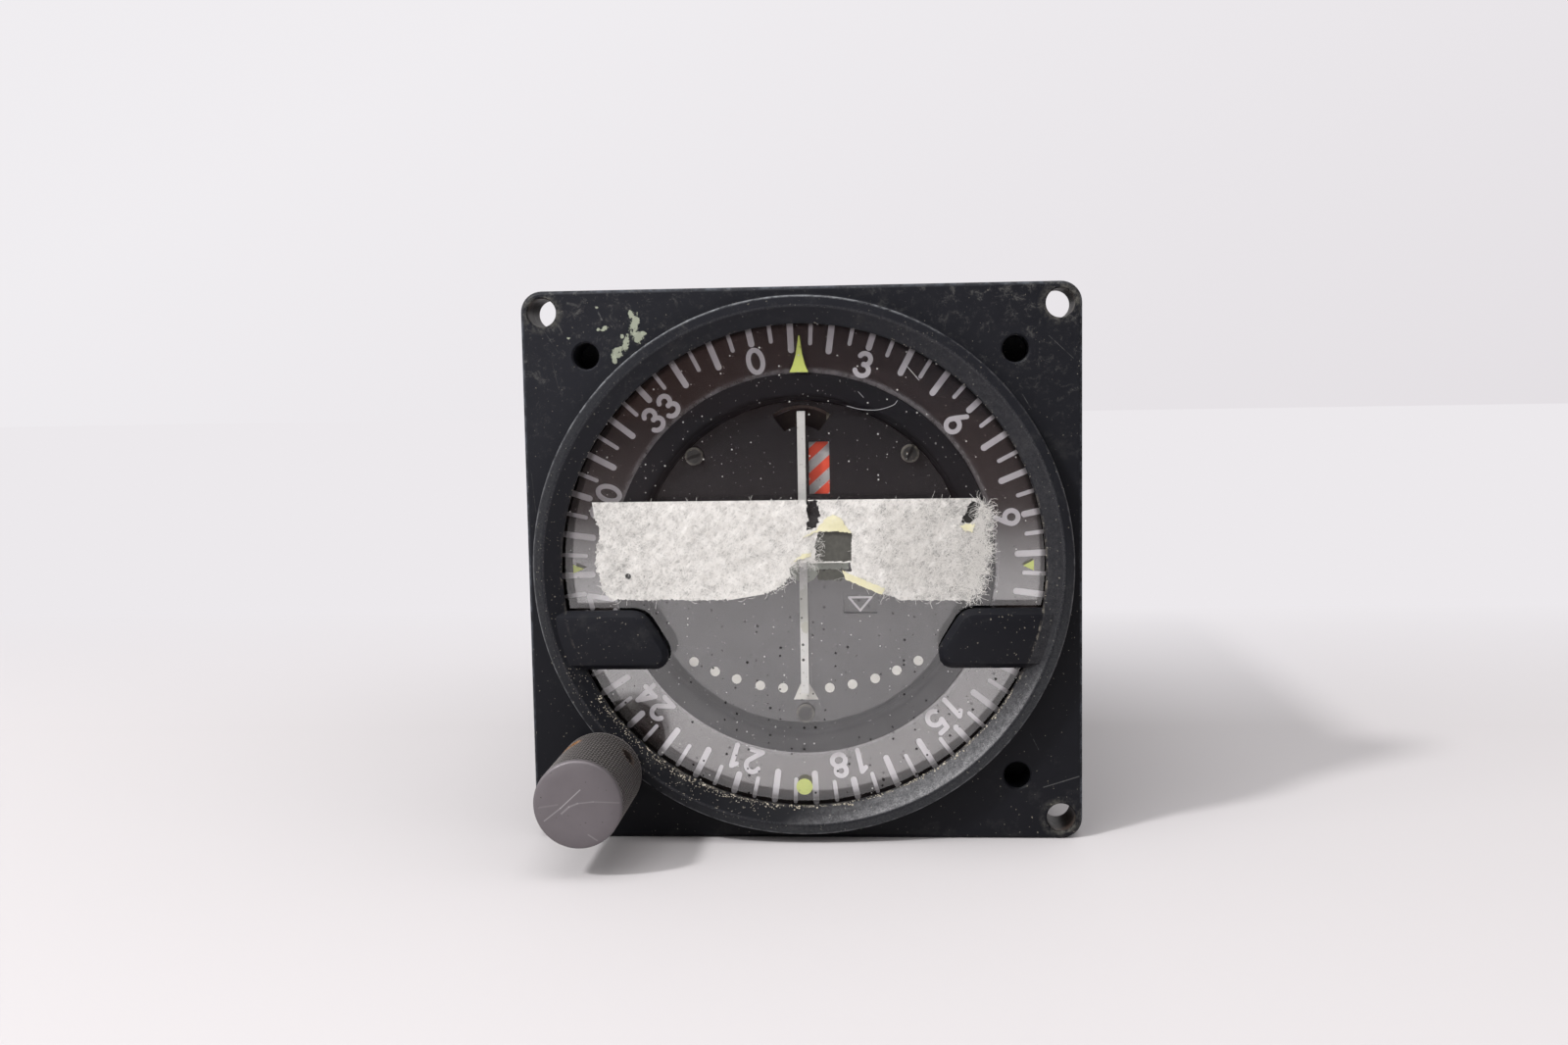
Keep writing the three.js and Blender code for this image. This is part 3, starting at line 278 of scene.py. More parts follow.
def turned(profile, sides=160, centre=(0, 0), closed=True):
    """Points (r cos t, y, r sin t) for each radius and depth of a profile and each angle t."""
    profile = np.array([*profile, profile[0]] if closed else profile, float)
    t = np.arange(sides) * 2 * np.pi / sides
    r, y = profile[:, :1], profile[:, 1:]
    x = centre[0] + r * np.cos(t)
    z = centre[1] + r * np.sin(t)
    return np.stack([x, y + 0 * t, z], -1).reshape(-1, 3), grid_faces(len(profile), sides)


def rounded_square(half, radius, steps=10):
    """Corner arcs of a square: each arc's centre plus radius times (cos t, sin t), joined in a loop."""
    t = np.linspace(0, np.pi / 2, steps)
    loop = []
    for quarter, (sx, sz) in enumerate([(1, 1), (-1, 1), (-1, -1), (1, -1)]):
        angle = t + quarter * np.pi / 2
        inset = half - radius
        loop.append(np.stack([sx * inset + radius * np.cos(angle), sz * inset + radius * np.sin(angle)], -1))
    return np.concatenate(loop)


def circle(radius, centre=(0, 0), sides=64):
    """Centre plus radius times (cos t, sin t)."""
    t = np.arange(sides) * 2 * np.pi / sides
    return np.stack([centre[0] + radius * np.cos(t), centre[1] + radius * np.sin(t)], -1)


def inside(points, loop):
    """True for each point that an even-odd count of the loop's edges puts inside it."""
    a, b = loop, np.roll(loop, -1, axis=0)
    x, z = points[:, :1], points[:, 1:]
    crosses = (a[:, 1] > z) != (b[:, 1] > z)
    rise = np.where(b[:, 1] == a[:, 1], 1e-12, b[:, 1] - a[:, 1])
    at = (b[:, 0] - a[:, 0]) * (z - a[:, 1]) / rise + a[:, 0]
    return (crosses & (x < at)).sum(1) % 2 == 1


def within(points, loops):
    """True for each point that is inside the first loop and outside every hole loop after it."""
    keep = inside(points, loops[0])
    for hole in loops[1:]:
        keep &= ~inside(points, hole)
    return keep


def filled(loops, extra=None):
    """Triangles between an outer loop and the hole loops inside it, on their points and any extra points."""
    points = np.concatenate(loops if extra is None else [*loops, extra])
    edges, start = [], 0
    for loop in loops:
        index = np.arange(len(loop)) + start
        edges += np.stack([index, np.roll(index, -1)], -1).tolist()
        start += len(loop)
    made = delaunay_2d_cdt([Vector(p) for p in points], edges, [], 0, 1e-7)
    first = np.array([ids[0] if ids else -1 for ids in made[3]])
    triangles = first[np.array([t for t in made[2] if len(t) == 3])]
    keep = within(points[triangles].mean(1), loops) & (triangles.min(1) >= 0)
    return triangles[keep].tolist()


def plate(levels):
    """A plate through (depth, loops) levels: walls between like loops and a filled face at each end."""
    counts = [len(loop) for loop in levels[0][1]]
    total = sum(counts)
    points = np.concatenate([np.insert(np.concatenate(loops), 1, depth, axis=1) for depth, loops in levels])
    faces = []
    start = 0
    for count in counts:
        i = np.arange(count)
        j = (i + 1) % count
        for level in range(len(levels) - 1):
            low, high = level * total + start, (level + 1) * total + start
            faces += np.stack([low + i, low + j, high + j, high + i], -1).tolist()
        start += count
    last = (len(levels) - 1) * total
    return points, faces + filled(levels[0][1]) + (np.array(filled(levels[-1][1])) + last).tolist()


def joined(*parts):
    """One list of points and one of faces from several (points, faces) pairs."""
    points, faces, start = [], [], 0
    for part_points, part_faces in parts:
        points.append(np.asarray(part_points))
        faces += [[v + start for v in face] for face in part_faces]
        start += len(part_points)
    return np.concatenate(points), faces


class Look(Nodes):
    """A material whose x, y and z are a surface point's millimetres from the dial's centre."""

    def __init__(self, name):
        super().__init__(bpy.data.materials.new(name))
        scaled = self.vector("MULTIPLY", self.where, (1000, 1000, 1000))
        self.place = self.vector("SUBTRACT", scaled, tuple(dial_origin * 1000))
        self.x, self.y, self.z = self.add("SeparateXYZ", {"Vector": self.place}).outputs

    def slanted(self, a, b):
        """a times x plus b times z."""
        return self.plus(self.times(self.x, a), self.times(self.z, b))

    def away(self, centre=(0, 0)):
        """The distance from a centre: the root of the sum of the squares of x and z measured from it."""
        u, v = self.minus(self.x, centre[0]), self.minus(self.z, centre[1])
        return self.maths("SQRT", self.plus(self.times(u, u), self.times(v, v)))

    def band(self, value, low, full, still_full, high):
        """One between two values of a value, with a soft step at each end."""
        return self.times((value, low, full), (value, high, still_full))

    def along(self, start, cosine, sine):
        """How far a point lies along and across a line through the start: (u c + v s, v c - u s)."""
        u, v = self.minus(self.x, start[0]), self.minus(self.z, start[1])
        run = self.plus(self.times(u, cosine), self.times(v, sine))
        return run, self.minus(self.times(v, cosine), self.times(u, sine))

    def spot(self, centre, radii, angle=0.0, ragged=0.6, scale=900.0):
        """One inside an ellipse whose edge a noise makes ragged, as a chip or a blob of residue."""
        turn = math.radians(angle)
        run, side = self.along(centre, math.cos(turn), math.sin(turn))
        run, side = self.times(run, 1 / radii[0]), self.times(side, 1 / radii[1])
        reach = self.plus(self.times(run, run), self.times(side, side))
        shift = self.times(self.minus(self.noise(scale, 5, 0.7), 0.5), ragged * 6)
        return self.ramp(self.plus(reach, shift), 1.05, 0.95)

    def stroke(self, start, end, width):
        """One along a straight line from start to end, as a scratch, fading over its width."""
        across = np.subtract(end, start)
        length = float(np.hypot(*across))
        run, side = self.along(start, *(across / length).tolist())
        beyond = self.larger(self.times(run, -1), self.minus(run, length))
        return self.ramp(self.larger(self.maths("ABSOLUTE", side), beyond), width / 2, width / 6)


class Finish(Look):
    """A surface finish: cloudy colour between dark and light, grain in roughness and bump, and specks."""

    def __init__(self, name, dark, light, rough=(0.35, 0.5), metallic=0.0, grain=900.0, stretch=(1, 1, 1),
                 cloud=60.0, specks=None, speck_level=0.72, speck_scale=2600.0, bump=0.1, specular=0.45):
        super().__init__(name)
        stretched = self.add("Mapping", {"Vector": self.where, "Scale": stretch}).outputs[0]
        self.fine = self.noise(grain, 6, 0.7, stretched)
        clouds = self.ramp(self.noise(cloud, 4, 0.55), 0.3, 0.7)
        both = self.add("Mix", {0: 0.4, 2: clouds, 3: self.fine}, data_type="FLOAT").outputs[0]
        self.colour = self.blend(both, dark, light)
        if specks:
            amount = self.ramp(self.noise(speck_scale, 1, 0.5), speck_level, speck_level + 0.03, 0.0, 0.8)
            self.colour = self.blend(amount, self.colour, specks)
        self.base = self.coated(
            self.colour, self.fine, bump, Roughness=self.ramp(self.fine, 0.25, 0.75, *rough),
            specular=specular, Metallic=metallic,
        )

    def over(self, colour, strength, *parts):
        """Lays a colour over the base colour, by the strength times the product of the parts."""
        amount = self.maths("MULTIPLY", self.times(*parts), strength, use_clamp=True)
        self.colour = self.blend(amount, self.colour, colour)
        self.tree.links.new(self.colour, self.base.inputs["Base Color"])

    def satin(self, share, roughness):
        """Adds a soft sheen that mirrors the pale table, as a satin lacquer does."""
        sheen = self.shader("BsdfAnisotropic", (1, 1, 1), Roughness=roughness)
        self.surface(self.mixed(share, self.base.outputs[0], sheen))


paint = Finish(
    "black_paint", (0.0048, 0.0050, 0.0068), (0.0080, 0.0083, 0.0112), rough=(0.36, 0.52), grain=420.0,
    cloud=35.0, specks=(0.24, 0.22, 0.18), speck_level=0.735, bump=0.05, specular=0.14,
)
x, y, z = paint.x, paint.y, paint.z
chips = paint.noise(520, 6, 0.8)
scuffs = paint.noise(640, 9, 0.85, distortion=0.5)
# Painted light: the paint is made lighter towards the top and the left, where the light falls.
paint.over((0.026, 0.027, 0.034), 0.42, paint.minus(paint.ramp(z, -38, 20), paint.ramp(x, 0, 40, 0.0, 0.5)))
paint.over((0.045, 0.044, 0.043), 0.5, (paint.noise(140, 8, 0.75), 0.56, 0.75))
outermost = paint.larger(paint.maths("ABSOLUTE", x), z)
paint.over((0.085, 0.095, 0.115), 0.8, (outermost, 40.55, 40.9), (chips, 0.44, 0.6), (y, 0.9, 0.35))
for centre in CORNER_HOLES:
    reach = paint.away(centre)
    paint.over((0.12, 0.115, 0.10), 0.7, (reach, 3.4, 2.2), (chips, 0.44, 0.6))
    paint.over((0.055, 0.030, 0.022), 0.5, (reach, 2.2, 2.12), (y, 0.3, 0.9))
corner_wear = paint.plus(paint.times(z, 0.02), paint.times(paint.maths("ABSOLUTE", x), 0.012))
paint.over((0.16, 0.155, 0.145), 0.42, (corner_wear, 0.72, 1.2), (scuffs, 0.54, 0.62))
for start, end, width, shade in [
    ((-37.4, 35.0), (-35.5, 32.0), 0.12, 0.10), ((-29.8, 38.6), (-28.9, 36.7), 0.3, 0.16),
    ((-33.9, 39.2), (-32.6, 38.9), 0.5, 0.07), ((-36.6, 31.2), (-35.6, 26.6), 0.1, 0.06),
    ((-40.1, 14.2), (-39.6, 8.4), 0.12, 0.07), ((36.2, 33.2), (39.7, 29.9), 0.1, 0.10),
    ((32.4, 24.8), (33.5, 22.9), 0.14, 0.12), ((33.4, -25.2), (34.6, -27.6), 0.12, 0.10),
    ((28.5, 38.9), (31.4, 39.3), 0.15, 0.06),
]:
    paint.over((shade, shade, shade * 0.98), 0.8, paint.stroke(start, end, width), (chips, 0.40, 0.6))
for centre, radii, angle in [
    ((-24.05, 35.9), (0.62, 1.5), -12), ((-23.6, 34.0), (0.75, 0.8), 0), ((-25.4, 33.2), (0.45, 1.05), -10),
    ((-26.7, 31.9), (0.85, 0.75), 40), ((-28.55, 35.45), (0.55, 0.32), 15), ((-29.45, 35.3), (0.3, 0.22), 0),
    ((-29.57, 38.54), (0.2, 0.16), 0), ((-33.95, 34.1), (0.22, 0.16), 0), ((-24.5, 37.4), (0.4, 0.6), 0),
    ((-25.9, 34.2), (0.3, 0.35), 0), ((-27.2, 30.9), (0.35, 0.7), 20), ((-22.7, 34.6), (0.35, 0.3), 0),
]:
    paint.over((0.36, 0.385, 0.30), 0.85, paint.spot(centre, radii, angle, ragged=1.1, scale=1500.0))
for start, end in [((35.32, -33.25), (38.2, -32.36)), ((38.2, -32.36), (40.5, -31.62))]:
    paint.over((0.10, 0.10, 0.10), 0.6, paint.stroke(start, end, 0.22))
reach = paint.away()
below, upper_right = paint.slanted(0.0147, -0.0227), paint.slanted(0.016, 0.021)
fine_grain = paint.noise(5200, 2, 0.7)
# Painted sheen on the ring's sloped inner wall: lightest towards the lower right and a little lighter on the
# right, where the light falls, broken up by a fine dusty grain.
slope_sheen = paint.times((below, 0.80, 0.985), (reach, 36.8, 37.95, 0.42, 0.8))
paint.over(
    (0.31, 0.305, 0.315), 1.0, paint.larger(slope_sheen, paint.ramp(x, 4, 26, 0.0, 0.085)),
    (fine_grain, 0.25, 0.75, 0.45, 1.1), paint.band(reach, 35.7, 35.85, 37.95, 38.1),
    (paint.noise(1300, 5, 0.75), 0.40, 0.62, 0.45, 1.0), (y, -1.62, -1.75),
)
left_part = paint.times((x, -18, -36), (z, -26, -6))
paint.over(
    (0.045, 0.046, 0.049), 0.7, (reach, 38.2, 38.5), (y, -3.0, -3.3),
    paint.larger(paint.ramp(below, 0.45, 0.85), left_part), (fine_grain, 0.3, 0.65, 0.3, 1.0),
)
paint.over(
    (0.20, 0.18, 0.15), 0.75, paint.band(reach, 35.5, 35.6, 35.75, 35.95), (y, -1.55, -1.66),
    (chips, 0.48, 0.60), (x, -28, 4, 0.3, 1.0), (z, 22, -8),
)
# Painted shade: inside the lip, behind its front edge, the paint is made near black.
paint.over((0.004, 0.004, 0.004), 0.9, (reach, 35.75, 35.65), (y, -1.6, -1.5))
outer_line = paint.band(reach, 39.3, 39.48, 39.62, 39.75)
paint.over((0.10, 0.10, 0.105), 0.6, outer_line, (chips, 0.42, 0.62), (y, -2.4, -2.9))
paint.over((0.07, 0.07, 0.075), 0.4, paint.band(reach, 37.85, 38.0, 38.2, 38.35), (fine_grain, 0.35, 0.6))
# Wear and painted highlight: the ring's worn outer edge is lighter all round, most at the upper left and
# least at the upper right, by where the light falls.
upper_left = paint.ramp(paint.minus(z, paint.larger(x, 0)), 8, 26)
highlight_side = paint.larger(paint.ramp(upper_right, 0.35, -0.1, 0.05, 0.45), upper_left)
paint.over((0.25, 0.26, 0.275), 0.85, (reach, 39.25, 39.5), highlight_side, (y, -2.6, -3.1), (chips, 0.40, 0.66))


def flange_loops(inset, widening):
    """The flange's outline drawn in, its holes widened, and the bore round the ring."""
    loops = [rounded_square(FLANGE_HALF - inset, 3.1 - inset)]
    loops += [circle(radius + widening, centre) for radius, centre in HOLE_RADII]
    return [*loops, circle(FLANGE_BORE, sides=160)]


def flange():
    """A plate with rounded edges, holes right through, three blind holes and a round hole for the knob."""
    levels = [
        (0.0, 0.6, 0.25), (0.0, 0.55, 0.2), (0.16, 0.26, 0.06), (0.45, 0.04, 0.0), (0.8, 0.0, 0.0),
        (8.0, 0.0, 0.0), (8.5, 0.1, 0.0), (FLANGE_BACK, 0.5, 0.1), (FLANGE_BACK, 0.55, 0.15),
    ]
    points, faces = plate([(y, flange_loops(i, w)) for y, i, w in levels])
    front, back = flange_loops(0.6, 0.25), flange_loops(0.55, 0.15)
    side = faces[: len(faces) - len(filled(front)) - len(filled(back))]
    # the front face also has the mouths of the three blind holes
    front += [circle(2.25, c, 40) for c in PANEL_HOLES]
    ends = [(np.insert(np.concatenate(loops), 1, depth, axis=1), filled(loops))
            for loops, depth in ((front, 0.0), (back, FLANGE_BACK))]
    blind = [(2.25, 0), (2.2, 0), (1.95, 0.25), (1.95, 7.2), (0.001, 7.2)]
    return joined((points, side), *ends, *[turned(blind, 40, c, closed=False) for c in PANEL_HOLES])


def ring():
    """The raised ring turned about the dial's axis, its rim and edges eased by small arcs."""
    return turned([
        (OPENING, LIP_BACK), (OPENING, -1.62), (OPENING + 0.12, -1.75), (OPENING + 0.24, -1.834),
        (RING_RIM_INNER - 0.24, -3.237), (RING_RIM_INNER - 0.12, -3.32),
        (RING_RIM_INNER + 0.12, -RING_HEIGHT), (RING_RIM_INNER + 0.2, -RING_HEIGHT), (39.15, -RING_HEIGHT),
        (39.25, -RING_HEIGHT), (39.45, -3.34), (39.56, -3.2), (RING_OUTER, -3.05), (RING_OUTER, -0.28),
        (RING_OUTER + 0.1, -0.1), (RING_OUTER + 0.3, 0.0), (FLANGE_BORE, 0.02), (FLANGE_BORE, FLANGE_BACK),
        (BORE, FLANGE_BACK), (BORE, LIP_BACK),
    ], 240)


def eared(side):
    """An ear: a five-sided outline with rounded corners, wider at its foot than at its face."""
    corners = [(1.02, -0.199), (0.674, -0.199), (0.579, -0.354), (0.596, -0.396), (1.02, -0.396)]
    face = np.array(corners) * OPENING
    rounding = [0.1, 1.5, 1.1, 0.9, 0.1]

    def outline(grow):
        """The face outline pushed out by grow, each corner cut by a quadratic curve of six points."""
        before, after = np.roll(face, 1, axis=0) - face, np.roll(face, -1, axis=0) - face
        before /= np.linalg.norm(before, axis=1)[:, None]
        after /= np.linalg.norm(after, axis=1)[:, None]
        bisector = before + after
        half = np.arccos(np.clip((before * after).sum(1), -1, 1)) / 2
        bisector /= np.linalg.norm(bisector, axis=1)[:, None]
        corner = face - bisector * (grow / np.sin(half))[:, None]
        loop = []
        t = np.linspace(0, 1, 6)[:, None]
        for c, b, a, r in zip(corner, before, after, rounding):
            p, q = c + b * (r + grow * 0.6), c + a * (r + grow * 0.6)
            loop.append((1 - t) ** 2 * p + 2 * t * (1 - t) * c + t**2 * q)
        return np.concatenate(loop) * [side, 1]

    levels = [(-2.9, -0.12), (-2.83, 0.1), (-1.9, 0.82), (-1.75, 0.9), (LIP_BACK, 0.9)]
    return plate([(y, [outline(g)]) for y, g in levels])


add_piece("bezel_flange", *flange(), stands_for=["bezel"], slot="black_paint", smooth=32, finish=paint)
add_piece("bezel_ring", *ring(), slot="black_paint", smooth=28, finish=paint)
for side, name in ((-1, "bezel_ear_left"), (1, "bezel_ear_right")):
    add_piece(name, *eared(side), slot="black_paint", smooth=28, finish=paint)


def crumbs(count, seed, angles, radii, size):
    """Five-sided grains at random angles and radii on the ring: each a flat pyramid about its own centre."""
    dice = np.random.default_rng(seed)
    angle = np.radians(dice.uniform(*angles, count))
    reach = dice.uniform(*radii, count)
    depth = np.interp(reach, GRIT_RADII, GRIT_DEPTHS)
    centre = np.stack([reach * np.cos(angle), depth, reach * np.sin(angle)], -1)
    t = np.arange(5) * 2 * np.pi / 5
    grown = size * dice.uniform(0.4, 1.2, (count, 5))
    rim = centre[:, None] + np.stack([grown * np.cos(t), 0 * grown, grown * np.sin(t)], -1)
    tip = centre + np.stack([0 * reach, -0.7 * grown.mean(1), 0 * reach], -1)
    points = np.concatenate([rim, tip[:, None]], 1).reshape(-1, 3)
    k = np.arange(5)
    faces = (np.arange(count)[:, None, None] * 6 + np.stack([k, (k + 1) % 5, 0 * k + 5], -1)).reshape(-1, 3)
    return points, faces.tolist()


add_piece("ring_grit", *joined(
    crumbs(190, 3, (212, 264), (35.62, 36.4), 0.10), crumbs(150, 4, (262, 330), (35.62, 35.85), 0.10),
    crumbs(210, 5, (200, 262), (35.7, 38.2), 0.07), crumbs(60, 6, (330, 545), (35.62, 35.8), 0.07),
    crumbs(44, 7, (212, 322), (35.62, 36.2), 0.21), crumbs(120, 8, (150, 275), (35.8, 39.2), 0.05),
), turn_out=False, finish=Finish(
    "grit", (0.16, 0.13, 0.08), (0.72, 0.66, 0.54), rough=(0.2, 0.5), cloud=1500.0, bump=0.2,
))

# Knob: one turned and knurled aluminium bar, anodised grey, with a smooth band behind its scratched face.
# It is held on the shaft by two set screws in drilled holes, which have rusted.
KNOB_FACE, KNOB_BACK, KNOB_RADIUS = -21.4, -3.8, 6.23
SCREW_DEPTH = -8.0
SCREW_ANGLES_AND_RUST = [(35, (0.10, 0.07, 0.055)), (125, (0.55, 0.27, 0.10))]
KNURL_LEAD, KNURL_COUNT, GROOVE_DEPTH, GROOVE_SLOPE = 0.94, 44, 0.22, 4.2
SHAFT_BORE, SHAFT_BORE_DEPTH, SCREW_HOLE, SCREW_HOLE_DEPTH = 1.9, 13.6, 1.28, 2.6


def knob():
    """A turned bar with crossed spiral grooves: the radius less the deeper groove at each angle and depth."""
    columns = 512
    t = np.arange(columns) * 2 * np.pi / columns
    depths = np.linspace(KNOB_FACE + 0.35, KNOB_BACK - 0.25, 176)
    y, angle = np.meshgrid(depths, t, indexing="ij")
    one, two = (
        np.abs((angle / (2 * np.pi) * KNURL_COUNT + sign * y / KNURL_LEAD) % 1 - 0.5) for sign in (1, -1)
    )
    groove = np.clip(1 - GROOVE_SLOPE * np.minimum(one, two), 0, 1)
    knurled = np.clip((y - (KNOB_FACE + 1.1)) / 0.3, 0, 1) * np.clip((KNOB_BACK - 0.5 - y) / 0.3, 0, 1)
    radius = KNOB_RADIUS - 0.02 - GROOVE_DEPTH * groove * knurled
    for turn_angle, _ in SCREW_ANGLES_AND_RUST:
        side = (angle - math.radians(turn_angle) + np.pi) % (2 * np.pi) - np.pi
        reach = np.hypot(side * KNOB_RADIUS, y - SCREW_DEPTH)
        radius = np.where(reach < SCREW_HOLE, KNOB_RADIUS - SCREW_HOLE_DEPTH, radius)
    middle = np.stack([radius * np.cos(angle), y, radius * np.sin(angle)], -1).reshape(-1, 3)
    rings = [(0.001, 0), (4.0, 0), (5.88, 0), (6.02, 0.08), (6.17, 0.24)]
    tail = [
        (6.05, -0.1), (5.9, 0), (SHAFT_BORE, 0), (SHAFT_BORE, -SHAFT_BORE_DEPTH), (0.001, -SHAFT_BORE_DEPTH),
    ]
    front, back = (
        turned([(r, y + end) for r, y in profile], columns, closed=False)[0]
        for profile, end in ((rings, KNOB_FACE), (tail, KNOB_BACK))
    )
    points = np.concatenate([front, middle, back]) + [KNOB_AXIS[0], 0, KNOB_AXIS[1]]
    return points, grid_faces(len(rings) + len(depths) + len(tail), columns)


grey = Finish(
    "knob_grey", (0.112, 0.099, 0.106), (0.155, 0.138, 0.147), rough=(0.38, 0.55), metallic=0.35, grain=700.0,
    cloud=120.0, specks=(0.05, 0.045, 0.04), speck_level=0.76, bump=0.06,
)
side_band = (grey.y, KNOB_FACE + 0.9, KNOB_FACE + 1.2)
grey.over((0.165, 0.150, 0.143), 0.85, (grey.y, KNOB_FACE + 0.5, KNOB_FACE + 1.6))
# Painted shade: behind the smooth band, whatever is sunk below the knob's outer surface (the knurl's grooves,
# the screw holes and the back face) is made near black.
cut = (grey.away(KNOB_AXIS), KNOB_RADIUS - 0.03, KNOB_RADIUS - 0.09)
grey.over((0.007, 0.006, 0.0055), 0.97, cut, side_band)
for angle, rust in SCREW_ANGLES_AND_RUST:
    run, rise = KNOB_RADIUS * math.cos(math.radians(angle)), KNOB_RADIUS * math.sin(math.radians(angle))
    mouth = (KNOB_AXIS[0] + run, SCREW_DEPTH, KNOB_AXIS[1] + rise)
    apart = grey.vector("DISTANCE", grey.place, mouth)
    grey.over(rust, 0.8, (apart, 2.0, 1.3), (grey.fine, 0.38, 0.58))
for start, end, width, strength in [
    ((-34.87, -32.46), (-32.6, -30.7), 0.24, 0.3), ((-32.6, -30.7), (-29.78, -28.11), 0.2, 0.5),
    ((-32.44, -31.43), (-31.4, -30.5), 0.34, 0.25), ((-31.4, -30.5), (-30.2, -30.02), 0.3, 0.25),
    ((-30.2, -30.02), (-28.0, -29.77), 0.24, 0.2), ((-28.0, -29.77), (-24.4, -29.9), 0.22, 0.14),
    ((-35.6, -30.6), (-33.0, -30.2), 0.3, 0.1), ((-28.8, -34.4), (-27.6, -35.2), 0.26, 0.2),
]:
    on_face = (grey.y, KNOB_FACE + 0.2, KNOB_FACE + 0.05)
    grey.over((0.5, 0.48, 0.49), strength, grey.stroke(start, end, width), on_face)
add_piece("knob_knurled", *knob(), body="knob_body", stands_for=["knob"], slot="knob_grey", smooth=50,
          finish=grey)

# Window: a flat clear disc behind the bezel's lip, with dust and a hair on its front.
# It reflects the pale table in its lower half and the dark room in its upper half.
# The four index marks are printed in yellow-green on its back.
WINDOW_FRONT, WINDOW_BACK, WINDOW_RADIUS, HAIR_DEPTH = -0.3, 1.3, 37.5, -0.42
glass = Look("window_glass")
facing = glass.minus(1.0, glass.add("NewGeometry").outputs["Backfacing"])


def round_specks(scale, smallest, largest, edge=0.00003):
    """A speck near the middle of each random cell: its random size less the distance, where above zero."""
    axes = glass.add("SeparateXYZ", {"Vector": glass.where}).outputs
    flat = glass.add("CombineXYZ", {"X": axes["X"], "Y": axes["Z"]}).outputs[0]
    inputs = {"Vector": flat, "Scale": scale, "Randomness": 1.0}
    cells = glass.add("TexVoronoi", inputs, voronoi_dimensions="2D").outputs
    luck = glass.add("SeparateColor", {"Color": cells["Color"]}).outputs[0]
    size = glass.ramp(luck, 0.0, 1.0, smallest * scale, largest * scale)
    return glass.ramp(glass.minus(size, cells["Distance"]), 0.0, edge * scale, 0.0, 0.85)


clear = glass.shader("BsdfTransparent", (0.985, 0.985, 0.985))
gloss = glass.shader("BsdfAnisotropic", (1, 1, 1), Roughness=0.03)
dust = glass.shader("BsdfDiffuse", (0.55, 0.54, 0.52))
dirt = glass.shader("BsdfDiffuse", (0.006, 0.005, 0.005))
mirrored = glass.mixed(glass.times((glass.noise(120, 6, 0.7), 0.3, 0.7, 0.105, 0.13), facing), clear, gloss)
dusted = glass.mixed(glass.times(round_specks(700.0, -0.00040, 0.00014), facing), mirrored, dust)
low_dirt = glass.times(round_specks(600.0, -0.00022, 0.00023), (glass.z, -13.05, 3.95, 1.0, 0.0), facing)
glass.surface(glass.mixed(low_dirt, dusted, dirt))
disc = [
    (0.001, WINDOW_FRONT), (37.2, WINDOW_FRONT), (WINDOW_RADIUS, 0.0), (WINDOW_RADIUS, 1.0),
    (37.2, WINDOW_BACK), (0.001, WINDOW_BACK),
]
add_piece("window", *turned(disc, 160, closed=False), stands_for=["lens"], slot="window_glass", finish=glass)


def ribbon(path, width, depth, closed=False, caps=True):
    """A flat band along a path: each point pushed both ways across its direction, with round ends."""
    path = np.asarray(path, float)
    if closed:
        ahead = np.roll(path, -1, axis=0) - np.roll(path, 1, axis=0)
    else:
        ahead = np.gradient(path, axis=0)
    ahead /= np.maximum(np.linalg.norm(ahead, axis=1)[:, None], 1e-9)
    across = np.stack([-ahead[:, 1], ahead[:, 0]], -1) * width / 2
    rows = np.stack([path + across, path - across], 1).reshape(-1, 2)
    n = len(path)
    k = np.arange(n if closed else n - 1)
    faces = np.stack([2 * k, 2 * ((k + 1) % n), 2 * ((k + 1) % n) + 1, 2 * k + 1], -1).tolist()
    if caps and not closed:
        for end, sign in ((0, -1), (n - 1, 1)):
            turn_to = np.linspace(np.pi / 2, -np.pi / 2, 9)[:, None]
            unit = across[end] / (width / 2)
            cap = path[end] + width / 2 * (np.sin(turn_to) * unit + np.cos(turn_to) * sign * ahead[end])
            faces += [list(range(len(rows), len(rows) + 9))]
            rows = np.concatenate([rows, cap])
    return np.insert(rows, 1, depth, axis=1), faces


def printed(name, marks, body, look):
    """One flat print from many marks, each face turned round where its corners' cross product is negative."""
    points, faces = joined(*marks)
    for i, face in enumerate(faces):
        (ax, _, az), (bx, _, bz), (cx, _, cz) = points[face[:3]]
        if (bx - ax) * (cz - az) - (bz - az) * (cx - ax) < 0:
            faces[i] = face[::-1]
    add_piece(name, points, faces, body=body, turn_out=False, finish=look)


def flat_shape(outline, depth):
    """One flat face with the given outline."""
    return np.insert(np.asarray(outline, float), 1, depth, axis=1), [list(range(len(outline)))]


slim_bar = [
    (-1.5, 28.55), (-1.0, 29.6), (-0.52, 31.2), (-0.13, 33.9), (0.06, 33.9), (0.40, 31.2), (0.82, 29.6),
    (1.28, 28.55),
]
left_mark = [(-34.5, 0.38), (-34.5, -0.95), (-32.84, -0.3)]
right_mark = [(34.08, 0.51), (34.08, -1.08), (32.51, -0.34)]
lower_dot = circle(1.23, (-0.24, -33.56), 40)
printed("index_marks", [
    flat_shape(mark, WINDOW_BACK + 0.03) for mark in (slim_bar, left_mark, right_mark, lower_dot)
], "instrument", Finish(
    "index_green", (0.50, 0.56, 0.13), (0.60, 0.66, 0.20), rough=(0.5, 0.7), cloud=400.0,
    specks=(0.35, 0.38, 0.10), speck_level=0.7, bump=0.05, specular=0.2,
))


